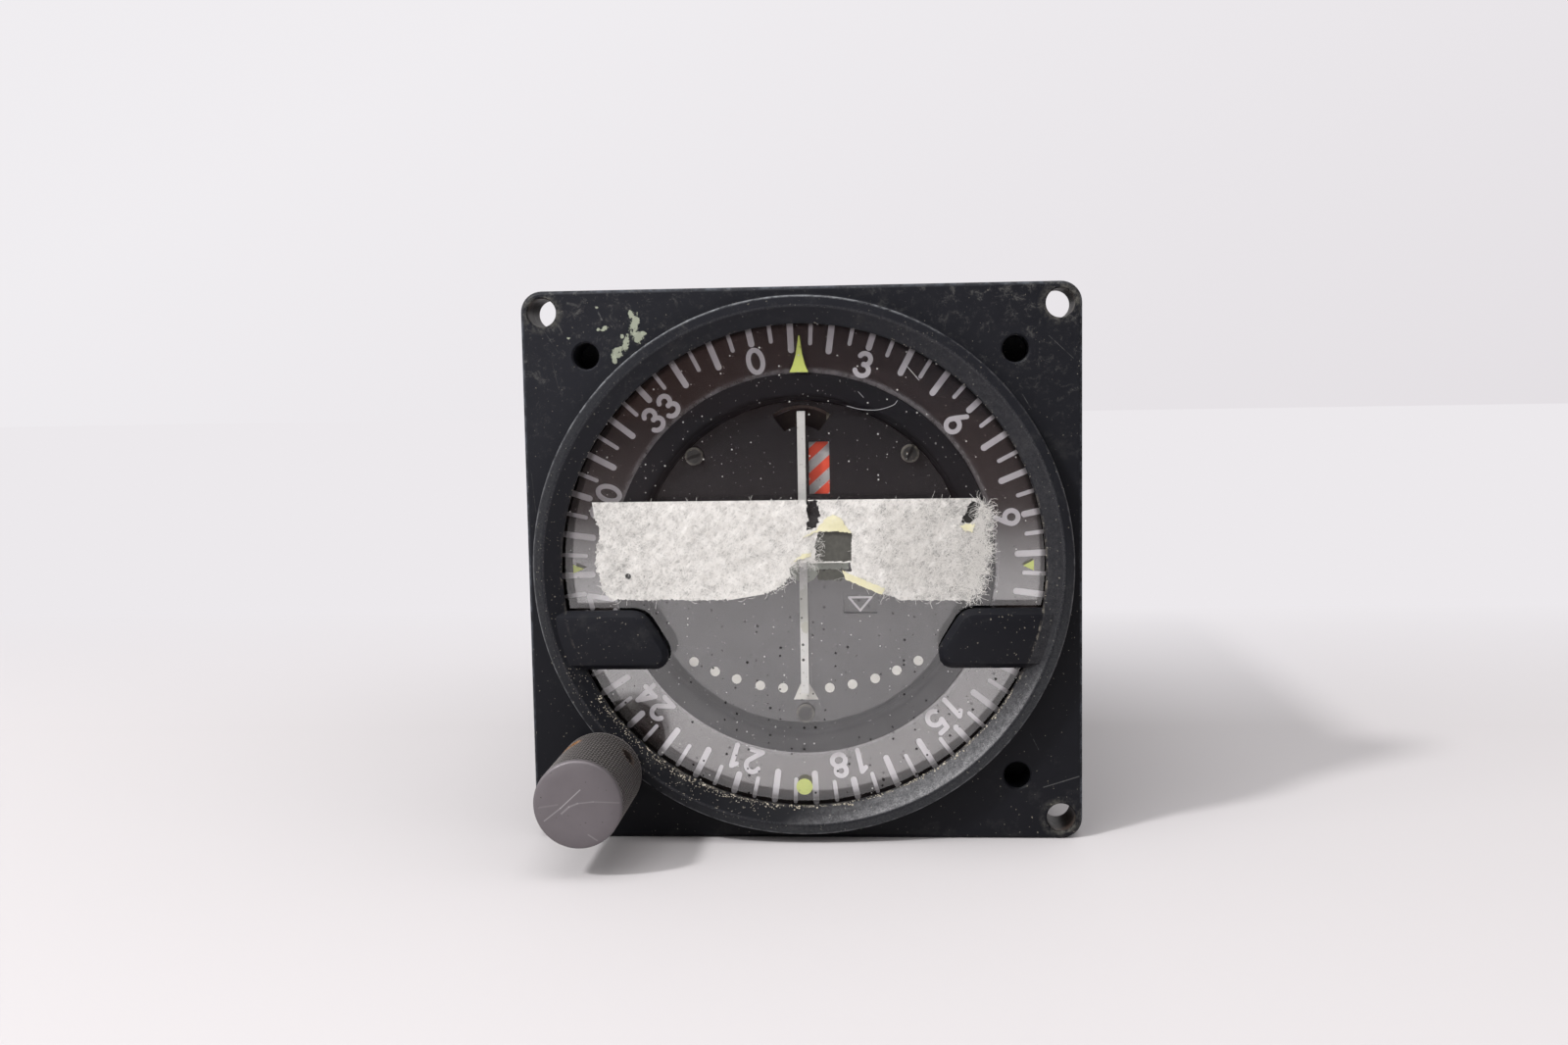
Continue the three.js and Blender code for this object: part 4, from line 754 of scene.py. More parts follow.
def curve_through(points, steps):
    """A smooth path through a few points: a cubic through each four neighbours."""
    p = np.asarray(points, float)
    p = np.concatenate([[2 * p[0] - p[1]], p, [2 * p[-1] - p[-2]]])
    t = np.linspace(0, 1, steps, endpoint=False)[:, None]
    path = [
        0.5 * (2 * b + (c - a) * t + (2 * a - 5 * b + 4 * c - d) * t**2 + (3 * b - a - 3 * c + d) * t**3)
        for a, b, c, d in zip(p, p[1:], p[2:], p[3:])
    ]
    return np.concatenate([*path, p[-2:-1]])


printed("window_hair", [
    ribbon(curve_through(points, steps), width, HAIR_DEPTH, caps=False) for points, steps, width in [
        ([(6.9, 23.54), (9.0, 23.0), (11.4, 22.9), (13.6, 23.5), (14.3, 24.2)], 10, 0.075),
        ([(8.6, 25.6), (9.4, 24.7)], 6, 0.05), ([(15.25, 29.66), (16.2, 28.6), (17.49, 27.07)], 8, 0.09),
    ]
], "instrument", Finish(
    "hair", (0.30, 0.30, 0.31), (0.46, 0.46, 0.47), rough=(0.4, 0.6), grain=800.0, bump=0.05,
))

# Inner metalwork: the gasket in front of the window, and behind the dial the turned posts and rods, gears,
# coil, resolver, boards, capacitors and lamps. Their CAD shapes are right as they are and only take a finish.
add_piece("window_gasket", *turned([(36.0, -1.0), (37.5, -1.0), (37.5, -0.6), (36.0, -0.6)], 200),
          stands_for=["lens_gasket"], slot="gasket_rubber", finish=Finish(
    "gasket_rubber", (0.012, 0.012, 0.013), (0.02, 0.02, 0.021), rough=(0.6, 0.8), bump=0.2, specular=0.3,
))


def dress(look, *names):
    """Gives CAD nodes a procedural finish. A name such as front_post x3 stands for its numbered nodes."""
    for name in names:
        stem, _, count = name.partition(" x")
        for node in [f"{stem}_{i + 1}" for i in range(int(count))] if count else [stem]:
            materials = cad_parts[node].data.materials
            materials.clear()
            materials.append(look.material)


aluminium = Finish(
    "plain_aluminium", (0.50, 0.50, 0.51), (0.66, 0.66, 0.67), rough=(0.25, 0.42), metallic=1.0, grain=500.0,
    stretch=(1, 0.08, 1), cloud=90.0, specks=(0.2, 0.19, 0.18), speck_level=0.75, bump=0.06,
)
steel = Finish(
    "steel", (0.36, 0.36, 0.37), (0.52, 0.52, 0.53), rough=(0.24, 0.4), metallic=1.0, grain=700.0,
    stretch=(1, 0.12, 1), cloud=200.0, specks=(0.13, 0.09, 0.06), speck_level=0.73, bump=0.05,
)
dress(aluminium, "lens_retainer", "card_gear", "card_retainer", "front_post x3", "gear_plate",
      "chassis_rod x3", "resolver_body", "nav_flag_meter", "to_from_meter")
dress(steel, "knob_shaft", "shaft_clip", "resolver_rotor", "transformer")
dress(Finish(
    "brass", (0.48, 0.33, 0.13), (0.68, 0.50, 0.22), rough=(0.28, 0.45), metallic=1.0, grain=600.0,
    stretch=(1, 0.1, 1), cloud=150.0, specks=(0.16, 0.12, 0.06), bump=0.06,
), "dial_post x3", "shaft_bushing", "knob_gear", "knob_pinion", "resolver_gear")
dress(Finish(
    "rusty_steel", (0.06, 0.025, 0.012), (0.22, 0.10, 0.05), rough=(0.45, 0.8), metallic=0.3, grain=1600.0,
    cloud=900.0, specks=(0.62, 0.50, 0.42), speck_level=0.60, bump=0.5,
), "knob_set_screw x2")
dress(Finish(
    "magnet_core", (0.020, 0.012, 0.010), (0.050, 0.026, 0.020), rough=(0.4, 0.6), metallic=0.2,
    cloud=400.0, specks=(0.12, 0.08, 0.05), speck_level=0.7, bump=0.3,
), "pointer_magnet")
dress(Finish(
    "copper_wire", (0.35, 0.12, 0.05), (0.60, 0.26, 0.12), rough=(0.25, 0.4), metallic=0.8, grain=300.0,
    stretch=(0.5, 30, 0.5), cloud=300.0, bump=0.5,
), "pointer_coil")
dress(Finish(
    "board_green", (0.020, 0.085, 0.030), (0.045, 0.14, 0.055), grain=500.0, stretch=(1, 1, 6), cloud=260.0,
    specks=(0.35, 0.33, 0.28), speck_level=0.7, bump=0.15,
), "circuit_board x2")
dress(Finish(
    "can_blue", (0.03, 0.05, 0.11), (0.06, 0.085, 0.17), rough=(0.3, 0.45), grain=400.0, stretch=(1, 0.2, 1),
    cloud=120.0, specks=(0.3, 0.3, 0.3), speck_level=0.75, bump=0.05,
), "capacitor x2")
dress(Finish(
    "lamp_glass", (0.45, 0.42, 0.36), (0.62, 0.60, 0.55), rough=(0.08, 0.16), grain=300.0, bump=0.03,
    specular=0.6,
), "lamp_left", "lamp_right")
dress(Finish(
    "insulator", (0.05, 0.022, 0.012), (0.10, 0.045, 0.025), rough=(0.4, 0.6), grain=800.0, cloud=300.0,
    bump=0.15,
), "connector_insert")

# Course card: a flat black ring with white ticks every five degrees and a figure every thirty.
# Its inner rim is frosted. It is screen printed and turns behind the window.
CARD_TURN = -12.3
TICK_OUTER, FIGURE_FOOT, PRINT_DEPTH = 36.2, 29.28, 2.575
FIGURE_TALL, FIGURE_STEP, FIGURE_WIDE, FIGURE_LINE = 3.35, 0.92, 0.6, 0.72


def card_point(degrees, radius):
    """The place at a clockwise angle from the card's own mark and a radius, with the card as it stands."""
    angle = math.radians(degrees + CARD_TURN)
    return np.array([radius * math.sin(angle), radius * math.cos(angle)])


def arc(cx, cy, rx, ry, start, end, steps=20):
    """Points of an elliptical arc in a figure's own unit box."""
    t = np.radians(np.linspace(start, end, steps))
    return np.stack([cx + rx * np.cos(t), cy + ry * np.sin(t)], -1)


def line(*points):
    """A straight-sided path, with points enough along it for a steady width."""
    p = np.asarray(points, float)
    t = np.linspace(0, 1, 6)[:, None]
    return np.concatenate([a + (b - a) * t for a, b in zip(p, p[1:])])


FIGURES = {
    "0": [arc(0.31, 0.5, 0.31, 0.5, 0, 351, 40)],
    "1": [line((0.3, 1), (0.3, 0)), line((0.3, 1), (0.1, 0.84))],
    "2": [
        np.concatenate([arc(0.3, 0.7, 0.29, 0.3, 165, -35), line((0.5, 0.48), (0.03, 0))]),
        line((0.03, 0), (0.6, 0)),
    ],
    "3": [arc(0.28, 0.75, 0.25, 0.25, 160, -88), arc(0.28, 0.26, 0.3, 0.26, 88, -160)],
    "4": [line((0.42, 1), (0, 0.3)), line((0, 0.3), (0.62, 0.3)), line((0.42, 1), (0.42, 0))],
    "5": [line((0.52, 1), (0.12, 1)), line((0.12, 1), (0.06, 0.56)), arc(0.27, 0.32, 0.31, 0.32, 130, -145)],
    "6": [
        arc(0.3, 0.3, 0.29, 0.3, 0, 342),
        np.concatenate([line((0.44, 1), (0.16, 0.62)), line((0.12, 0.56), (0.01, 0.34))]),
    ],
    "7": [line((0, 1), (0.58, 1)), line((0.58, 1), (0.2, 0))],
    "8": [arc(0.3, 0.76, 0.24, 0.24, 0, 342), arc(0.3, 0.27, 0.3, 0.27, 0, 342)],
    "9": [
        arc(0.3, 0.7, 0.29, 0.3, 0, 342),
        np.concatenate([line((0.16, 0), (0.44, 0.38)), line((0.48, 0.44), (0.59, 0.66))]),
    ],
}
CLOSED = {("0", 0), ("6", 0), ("8", 0), ("8", 1), ("9", 0)}
marks = []
for degrees in range(0, 360, 5):
    inner = {0: 33.1, 10: 31.4, 20: 31.4, 15: 32.5}.get(degrees % 30, 33.1)
    width = 0.6 if degrees % 10 else 0.92
    t = np.linspace(0, 1, 4)[:, None]
    path = card_point(degrees, TICK_OUTER) * (1 - t) + card_point(degrees, inner + width / 2) * t
    marks.append(ribbon(path, width, PRINT_DEPTH))
for number in range(0, 36, 3):
    text = str(number)
    total = FIGURE_WIDE + FIGURE_STEP * (len(text) - 1)
    outwards = card_point(number * 10, 1)
    sideways = np.array([outwards[1], -outwards[0]])
    for digit, letter in enumerate(text):
        for order, path in enumerate(FIGURES[letter]):
            u = (path[:, :1] + digit * FIGURE_STEP - total / 2) * FIGURE_TALL
            v = FIGURE_FOOT + path[:, 1:] * FIGURE_TALL
            depth = PRINT_DEPTH - 0.005 - 0.004 * order
            stroke = u * sideways + v * outwards
            marks.append(ribbon(stroke, FIGURE_LINE, depth, closed=(letter, order) in CLOSED))
white = Finish(
    "print_white", (0.60, 0.565, 0.60), (0.72, 0.69, 0.72), rough=(0.5, 0.65), grain=700.0, cloud=300.0,
    specks=(0.4, 0.38, 0.38), speck_level=0.76, bump=0.03, specular=0.2,
)
# Painted shadow of the bezel's lip: the print is darkened at the card's outer edge.
white.over((0.12, 0.11, 0.11), 0.8, (white.away(), 35.0, 35.6))
white.satin(0.28, 0.09)
printed("card_print", marks, "card_body", white)
black = Finish(
    "card_black", (0.030, 0.0225, 0.022), (0.046, 0.034, 0.033), rough=(0.3, 0.42), grain=500.0, cloud=70.0,
    specks=(0.25, 0.22, 0.2), speck_level=0.75, bump=0.04, specular=0.1,
)
reach = black.away()
black.over((0.40, 0.38, 0.40), 0.7, (reach, 29.4, 28.9), (black.fine, 0.2, 0.75))
# Painted shadow of the bezel's lip: the card's outer edge is made near black and its sheen faded out there.
black.over((0.004, 0.003, 0.003), 0.9, (reach, 34.9, 35.5))
black.satin(black.ramp(reach, 34.9, 35.4, 0.30, 0.08), 0.09)
card = [
    (28.6, 2.6), (28.65, 2.6), (36.5, 2.6), (36.55, 2.6), (36.7, 2.75), (36.7, 3.6), (26.2, 3.6), (26.2, 2.9),
    (28.2, 2.75),
]
add_piece("card_ring", *turned(card, 240), body="card_body", stands_for=["course_card"], slot="card_black",
          finish=black)

# Dial: the drum's dark front ring, and the flat dial plate on three screws with its printed marks.
# The plate is sheet aluminium in dull black lacquer, punched for the pointer, the flag and the small vane.
DIAL_FRONT, INK_DEPTH = 3.72, 3.68
DIAL_SCREWS = [((-16.1, 16.3), 20), ((16.1, 16.3), 65), ((0, -22.7), 40)]
mask = Finish(
    "mask_black", (0.0105, 0.0105, 0.0128), (0.0125, 0.0125, 0.0152), rough=(0.5, 0.6), grain=600.0,
    cloud=80.0, specks=(0.3, 0.29, 0.28), speck_level=0.745, bump=0.0, specular=0.06,
)
mask.satin(mask.ramp(mask.away(), 25.9, 26.3, 0.0, 0.03), 0.12)
turns = np.linspace(0.1, math.pi / 2, 10).tolist()
eased = [(25.7 - 0.8 * math.cos(t), 2.5 - 0.8 * math.sin(t)) for t in turns]
housing = [
    (24.4, 3.6), (24.42, 3.5), (24.9, 2.5), *eased, (25.8, 1.7), (28.25, 1.7), (28.3, 1.7), (28.45, 1.85),
    (28.45, 2.3), (25.6, 2.3), (25.6, 6.3), (24.6, 6.3), (24.6, 5.6), (24.0, 5.6), (24.0, 4.8), (24.4, 4.8),
]
add_piece("dial_drum", *turned(housing, 200), stands_for=["dial_housing"], slot="dial_black", finish=mask)
lacquer = Finish(
    "dial_black", (0.0155, 0.0145, 0.0165), (0.0180, 0.0170, 0.0190), rough=(0.36, 0.42),
    specks=(0.26, 0.25, 0.25), speck_level=0.75, bump=0.0, specular=0.1,
)
# Painted light: below the middle, the plate's surfaces behind its front face are lightened, so the lower edge
# of the vane's window shows no dark line of shade.
lacquer.over((0.085, 0.084, 0.088), 0.9, (lacquer.y, DIAL_FRONT, DIAL_FRONT + 0.04), (lacquer.z, 0, -2))
lacquer.satin(0.12, 0.12)
dress(lacquer, "dial_plate")
dots = [
    (-16.87, -14.89), (-13.68, -16.38), (-10.42, -17.56), (-6.84, -18.56), (-3.38, -18.94),
    (3.68, -18.94), (7.11, -18.42), (10.54, -17.54), (13.79, -16.31), (17.04, -14.86),
]
printed("dial_marks", [
    *[flat_shape(circle(0.73, dot, 28), INK_DEPTH) for dot in dots],
    flat_shape([(-0.73, -18.32), (0.61, -18.33), (1.97, -20.73), (-1.8, -20.72)], INK_DEPTH),
], "instrument", Finish(
    "dial_ink", (0.56, 0.54, 0.50), (0.72, 0.70, 0.66), rough=(0.5, 0.65), cloud=500.0,
    specks=(0.2, 0.19, 0.17), speck_level=0.7, bump=0.08, specular=0.2,
))
printed("dial_centre_disc", [
    flat_shape(circle(2.17, (0.15, -0.72), 48), INK_DEPTH),
    flat_shape([(-0.28, -0.93), (6.76, -0.93), (6.76, 0.24), (-0.28, 0.24)], INK_DEPTH - 0.02),
], "instrument", Finish(
    "dial_pale", (0.33, 0.36, 0.30), (0.44, 0.46, 0.40), rough=(0.5, 0.65), grain=700.0, cloud=500.0,
    specks=(0.15, 0.15, 0.12), speck_level=0.7, bump=0.08, specular=0.2,
))


def screw(centre, head, shank, slot=0.5, deep=0.35, angle=35.0, outwards=-1, axis="y"):
    """A slotted screw: a disc under two eased, raised segments of a circle, and a plain round shank."""
    radius, front, back = head
    shank_radius, end = shank
    floor = front - outwards * deep
    parts = [turned([(0.001, back), (radius, back), (radius, floor), (0.001, floor)], 40, closed=False)]
    for half in (0, math.pi):
        edge = math.asin(slot / 2 / radius)
        t = np.linspace(edge, math.pi - edge, 22) + half + math.radians(angle)
        rim = np.stack([np.cos(t), np.sin(t)], -1)
        parts.append(plate([
            (floor, [rim * radius]), (front - outwards * 0.14, [rim * radius]),
            (front - outwards * 0.04, [rim * (radius - 0.06)]), (front, [rim * (radius - 0.18)]),
        ]))
    stem = [(0.001, back), (shank_radius, back), (shank_radius, end), (0.001, end)]
    points, faces = joined(*parts, turned(stem, 24, closed=False))
    if axis == "x":
        return points[:, [1, 2, 0]] + [0, *centre], faces
    return points + [centre[0], 0, centre[1]], faces


def add_screws(name, shapes, finish):
    """A piece for each screw's shape. It stands for the CAD's screw of its number."""
    for i, shape in enumerate(shapes, 1):
        add_piece(f"{name}_head_{i}", *shape, stands_for=[f"{name}_{i}"], slot="steel", finish=finish)


dull = Finish(
    "dull_screw", (0.006, 0.006, 0.006), (0.022, 0.020, 0.018), rough=(0.45, 0.6), metallic=0.1,
    cloud=1100.0, specks=(0.25, 0.20, 0.14), speck_level=0.70, bump=0.3,
)
for centre, _ in DIAL_SCREWS:
    rim = dull.band(dull.away(centre), 0.95, 1.15, 1.38, 1.5)
    dull.over((0.16, 0.145, 0.12), 0.7, rim, (dull.fine, 0.35, 0.6))
dull.satin(0.02, 0.3)
add_screws("dial_screw", [
    screw(centre, (1.37, 2.7, 3.4), (0.68, 7.8), angle=angle) for centre, angle in DIAL_SCREWS
], dull)

SLOT_PART_DEPTHS = (4.56, 4.74)
SLOT_CENTRE = (0, 16.2)
bracket = np.array([(3.72, 22.55), (4.12, 22.55), (4.12, 20.6), (3.5, 19.95), (3.2, 20.15), (3.72, 20.75)])
add_piece("slot_bracket", *plate([(depth, [bracket]) for depth in SLOT_PART_DEPTHS]), finish=Finish(
    "slot_bracket", (0.20, 0.17, 0.13), (0.34, 0.30, 0.24), rough=(0.4, 0.6), cloud=500.0,
    specks=(0.08, 0.05, 0.04), speck_level=0.7, bump=0.15,
))
band = np.concatenate([arc(*SLOT_CENTRE, 7.0, 7.0, 128, 56, 30), arc(*SLOT_CENTRE, 8.2, 8.2, 56, 128, 30)])
add_piece("slot_band", *plate([(depth, [band]) for depth in SLOT_PART_DEPTHS]), finish=Finish(
    "slot_band", (0.045, 0.026, 0.021), (0.085, 0.055, 0.046), rough=(0.4, 0.6), cloud=400.0,
    specks=(0.02, 0.012, 0.01), speck_level=0.62, bump=0.2,
))

# Pointer, warning flag and small vane: thin aluminium strips on their own pivots. The pointer is enamelled
# grey white, with greenish glue low down, and the flag has red and grey stripes. The vane has two plain
# triangles, one in the window and one further round its pivot, which its swing brings into the window.
STRIPE_STEP, STRIPE_START = 3.72, 11.63 - 3.72 * 1.75
VANE_PIVOT, VANE_SWING, VANE_FRONT = np.array([17.5, -8.0]), math.radians(41), 4.77
enamel = Finish(
    "pointer_white", (0.55, 0.54, 0.52), (0.68, 0.67, 0.65), rough=(0.4, 0.55), cloud=300.0,
    specks=(0.3, 0.28, 0.24), speck_level=0.7, bump=0.06,
)
enamel.over((0.42, 0.43, 0.36), 0.5, enamel.spot((0.1, -6.5), (0.9, 3.2), ragged=0.5))
enamel.over((0.44, 0.43, 0.36), 0.8, enamel.spot((0.3, -9.6), (0.7, 0.8), ragged=0.5))
enamel.over((0.03, 0.022, 0.02), 1.0, (enamel.y, 3.2, 4.2))
dress(enamel, "deviation_pointer")
red = Finish(
    "flag_red", (0.48, 0.46, 0.46), (0.60, 0.58, 0.58), rough=(0.45, 0.6), cloud=500.0,
    specks=(0.12, 0.03, 0.02), bump=0.05, specular=0.25,
)
steps = red.maths("DIVIDE", red.minus(red.slanted(-0.9, 1.0), STRIPE_START), STRIPE_STEP)
from_middle = red.maths("ABSOLUTE", red.minus(red.maths("FRACT", steps), 0.75))
red.over((0.98, 0.11, 0.055), 0.98, (from_middle, 0.262, 0.238))
dress(red, "nav_flag")
vane = Finish(
    "vane_black", (0.0155, 0.0145, 0.0165), (0.0180, 0.0170, 0.0190), rough=(0.36, 0.42), bump=0.0,
    specular=0.1,
)
vane.satin(0.12, 0.12)
dress(vane, "to_from_vane")
shown = [(6.7, -5.35), (10.1, -5.35), (8.4, -7.35)]
upright = np.array([(6.7, -7.35), (10.1, -7.35), (8.4, -5.35)]) - VANE_PIVOT
cosine, sine = math.cos(VANE_SWING), math.sin(VANE_SWING)
further = (VANE_PIVOT + upright @ [[cosine, -sine], [sine, cosine]]).tolist()
printed("vane_mark", [
    ribbon(line(a, b), 0.32, VANE_FRONT - 0.004 * k)
    for mark in (shown, further) for k, (a, b) in enumerate(zip(mark, mark[1:] + mark[:1]))
], "to_from_body", white)

# Case, rear cover and connector: a rounded-square aluminium can in crackled black, four screws in its
# sides, a flat cover on three screws and the round connector with its threaded shell and moulded insert.
CASE_HALF, CASE_CORNER, CASE_WALL = 39.5, 14, 1.2
COVER_SCREWS = [(29, 29), (29, -29), (-29, 29)]
CONNECTOR_BORE, CONNECTOR_RADIUS, THREAD_TURNS, THREAD_DEPTH = 10.0, 12.0, 9, 0.45
crackle = Finish(
    "case_black", (0.010, 0.010, 0.0115), (0.026, 0.026, 0.0285), rough=(0.42, 0.62), grain=1100.0,
    cloud=45.0, specks=(0.2, 0.19, 0.17), speck_level=0.735, bump=0.6,
)
rubbed = crackle.noise(300, 8, 0.8)
across, up = crackle.maths("ABSOLUTE", crackle.x), crackle.maths("ABSOLUTE", crackle.z)
rear = (crackle.y, 156.6, 157.6)
sides = crackle.times(rear, (crackle.larger(across, up), 38.6, 39.2))
corners = crackle.times(rear, (crackle.plus(across, up), 68.6, 69.4))
crackle.over((0.07, 0.069, 0.066), 0.5, (rubbed, 0.60, 0.72))
crackle.over((0.20, 0.20, 0.205), 0.8, crackle.larger(sides, corners), (rubbed, 0.42, 0.56))
for start, end, width in [
    ((-20, -12), (6, 22), 0.25), ((8, 17), (-30, -12), 0.2), ((-6, 14), (28, 33), 0.2),
    ((22, 27), (4, 16), 0.18),
]:
    crackle.over((0.09, 0.09, 0.09), 0.6, crackle.stroke(start, end, width), (rubbed, 0.4, 0.55))


def can():
    """A tube of rounded-square section with eased ends."""
    inner_half, inner_corner = CASE_HALF - CASE_WALL, CASE_CORNER - CASE_WALL
    return plate([(y, [
        rounded_square(CASE_HALF - eased, CASE_CORNER - eased, 18),
        rounded_square(inner_half + flared, inner_corner + flared, 18),
    ]) for y, eased, flared in [(9.1, 0.3, 0.2), (9.4, 0.0, 0.0), (155.2, 0.0, 0.0), (155.5, 0.3, 0.2)]])


def cover():
    """A rounded-square plate with an eased rear edge, the connector's hole and three screw holes."""
    holes = [circle(CONNECTOR_BORE, sides=60), *[circle(1.3, centre, 24) for centre in COVER_SCREWS]]
    return plate([
        (y, [rounded_square(CASE_HALF - eased, CASE_CORNER - eased, 18), *holes])
        for y, eased in [(155.8, 0.15), (156.0, 0.0), (157.3, 0.0), (157.65, 0.12), (157.8, 0.4)]
    ])


def connector():
    """A square flange with rounded corners under a tube whose outside has a fine thread of turned grooves."""
    square = plate([
        (y, [rounded_square(13.5 - eased, 2.5 - eased, 8), circle(CONNECTOR_BORE, sides=96)])
        for y, eased in [(158.1, 0.0), (159.8, 0.0), (160.1, 0.3)]
    ])
    groove = [(0.0, 0.0), (0.35, 0.0), (0.5, THREAD_DEPTH), (0.85, THREAD_DEPTH)]
    crests = [(CONNECTOR_RADIUS - cut, 161.2 + turn + y) for turn in range(THREAD_TURNS) for y, cut in groove]
    return joined(square, turned([
        (CONNECTOR_BORE, 160.1), (CONNECTOR_RADIUS, 160.1), *crests, (CONNECTOR_RADIUS, 171.6), (11.6, 172.1),
        (10.4, 172.1), (CONNECTOR_BORE, 171.7),
    ], 96))


add_piece("case_can", *can(), stands_for=["case_shell"], slot="case_black", smooth=35, finish=crackle)
add_piece("rear_plate", *cover(), stands_for=["rear_cover"], slot="case_black", smooth=35, finish=crackle)
add_piece("connector_barrel", *connector(), stands_for=["connector_shell"], slot="plain_aluminium", smooth=35,
          finish=aluminium)
add_screws("case_screw", [
    screw((11.5, height), (2.14, side * 40.7, side * 39.8), (1.0, side * 36.8), slot=0.6, deep=0.5,
          angle=20 + 65 * i, outwards=side, axis="x")
    for i, (side, height) in enumerate([(1, -19.99), (1, 19.99), (-1, -19.99), (-1, 19.99)])
], steel)
add_screws("cover_screw", [
    screw(centre, (2.44, 159.5, 158.1), (1.2, 151.1), slot=0.7, deep=0.7, angle=25 + 50 * i, outwards=1)
    for i, centre in enumerate(COVER_SCREWS)
], steel)

# Tape: one strip of white crepe paper tape stuck across the window, fibrous and crumpled, torn at its
# middle and along its right end. Folded yellow scraps show its glued side, and loose fibres stand off its
# torn edges.
TAPE_FRONT, TAPE_THICK, SCRAP_FRONT, GLUE_AND_SHADE_FRONT, FIBRE_FRONT = -0.73, 0.1, -0.86, -0.5, -0.84
FIBRE_DIRECTIONS = [(0.35, 2300, 9), (-0.6, 2700, 10), (1.35, 2500, 8), (2.3, 2900, 9), (-1.1, 2200, 8)]


def waves(points, seed, size, count=14):
    """A smooth uneven height: the sum of many sine waves of random direction and phase about one length."""
    dice = np.random.default_rng(seed)
    total = 0
    for _ in range(count):
        angle, phase = dice.uniform(0, 2 * np.pi, 2)
        length = size * dice.uniform(0.6, 1.7)
        run = points[:, 0] * math.cos(angle) + points[:, 1] * math.sin(angle)
        total = total + np.sin(run * 2 * np.pi / length + phase)
    return total / math.sqrt(count)


def torn(corners, ragged, seed, step=0.14):
    """An outline resampled finely, with each point of a torn side pushed by random uneven amounts."""
    corners = np.asarray(corners, float)
    loop, rough = [], []
    for a, b, r in zip(corners, np.roll(corners, -1, axis=0), ragged):
        count = max(2, int(np.hypot(*(b - a)) / step))
        t = np.arange(count)[:, None] / count
        loop.append(a + (b - a) * t)
        rough.append(np.full(count, r))
    loop, rough = np.concatenate(loop), np.concatenate(rough)
    dice = np.random.default_rng(seed)
    push = np.stack([waves(loop, seed + 1, 1.1), waves(loop, seed + 2, 0.9)], -1) * 0.55
    push = push + dice.normal(0, 0.35, loop.shape)
    return loop + push * rough[:, None] * 0.22


def sheet(loops, front, thickness, bumps, seed, step=0.4):
    """A thin sheet: inner points on a jittered grid, front and back faces, and walls along each edge."""
    low, high = loops[0].min(0), loops[0].max(0)
    grid = np.meshgrid(np.arange(low[0], high[0], step), np.arange(low[1], high[1], step))
    grid = np.stack(grid, -1).reshape(-1, 2)
    grid = grid + np.random.default_rng(seed).uniform(-0.3, 0.3, grid.shape) * step
    grid = grid[within(grid, loops)]
    edge = np.concatenate(loops)
    grid = grid[np.array([np.hypot(*(edge - p).T).min() > step * 0.35 for p in grid])]
    flat = np.concatenate([edge, grid])
    triangles = np.array(filled(loops, grid))
    raised = front - bumps * (0.5 + 0.5 * np.tanh(waves(flat, seed, 2.6) + 0.6 * waves(flat, seed + 5, 0.9)))
    points = np.concatenate([np.insert(flat, 1, depth, axis=1) for depth in (raised, raised + thickness)])
    faces = triangles.tolist() + (triangles[:, ::-1] + len(flat)).tolist()
    start = 0
    for loop in loops:
        i = np.arange(len(loop)) + start
        j = np.roll(i, -1)
        faces += np.stack([i, j, j + len(flat), i + len(flat)], -1).tolist()
        start += len(loop)
    return points, faces


tape = Look("masking_tape")
strands = 0.0
for angle, scale, longer in FIBRE_DIRECTIONS:
    laid = {"Vector": tape.where, "Rotation": (0, angle, 0), "Scale": (longer, 1, 1)}
    spun = tape.add("Mapping", laid, vector_type="TEXTURE").outputs[0]
    from_middle = tape.maths("ABSOLUTE", tape.minus(tape.noise(scale, 2, 0.5, spun, distortion=0.6), 0.5))
    strands = tape.larger(strands, tape.ramp(from_middle, 0.010, 0.060, 1.0, 0.0))
worn = tape.plus(tape.ramp(tape.x, -20, -30, 0.0, 0.08), tape.ramp(tape.x, 6, 26, 0.0, 0.14))
patch = tape.plus(tape.noise(620, 9, 0.8), worn)
bed = tape.blend(tape.ramp(patch, 0.45, 0.68), (0.56, 0.545, 0.52), (0.235, 0.229, 0.219))
fibrous = tape.times(strands, (patch, 0.4, 0.72, 0.92, 0.35))
tape.coated(tape.blend(fibrous, bed, (0.77, 0.745, 0.715)), strands, 0.3, specular=0.15, Roughness=0.8)
outline = [
    (-31.0, 9.86), (-30.7, 7.61), (-29.9, 5.12), (-30.6, 2.93), (-30.7, 0.0), (-29.9, -2.66), (-28.9, -4.72),
    (-10.72, -4.85), (-5.61, -4.01), (-3.12, -2.94), (-1.78, -1.12), (-1.5, 0.2), (-0.4, 0.9), (1.9, 0.55),
    (7.2, 0.55), (7.3, -0.6), (6.03, -0.7), (6.5, -1.7), (9.6, -3.2), (14.61, -5.03), (24.7, -5.2),
    (25.3, -3.4), (26.1, -0.9), (26.8, 2.4), (26.8, 5.2), (26.6, 9.0), (26.0, 9.86),
]
ragged = [
    0, 1, 1, 1, 1, 1, 0.6, 0, 1, 1, 1, 1.4, 1.2, 0.3, 0.5, 1, 1, 0.8, 0.6, 0.3, 1.8, 2.2, 2.2, 2.2, 2, 1.4, 0,
]
slit = [(0.7, 9.75), (1.0, 7.3), (0.7, 5.5), (2.1, 5.7), (2.8, 7.3), (2.5, 9.75)]
hole = [(2.1, 0.75), (7.3, 0.8), (7.4, 5.0), (5.2, 5.3), (2.5, 5.1), (1.9, 3.0)]
corner_tear = [(23.3, 6.1), (24.9, 6.3), (25.9, 7.4), (26.2, 9.2), (24.9, 9.5), (24.3, 8.2)]
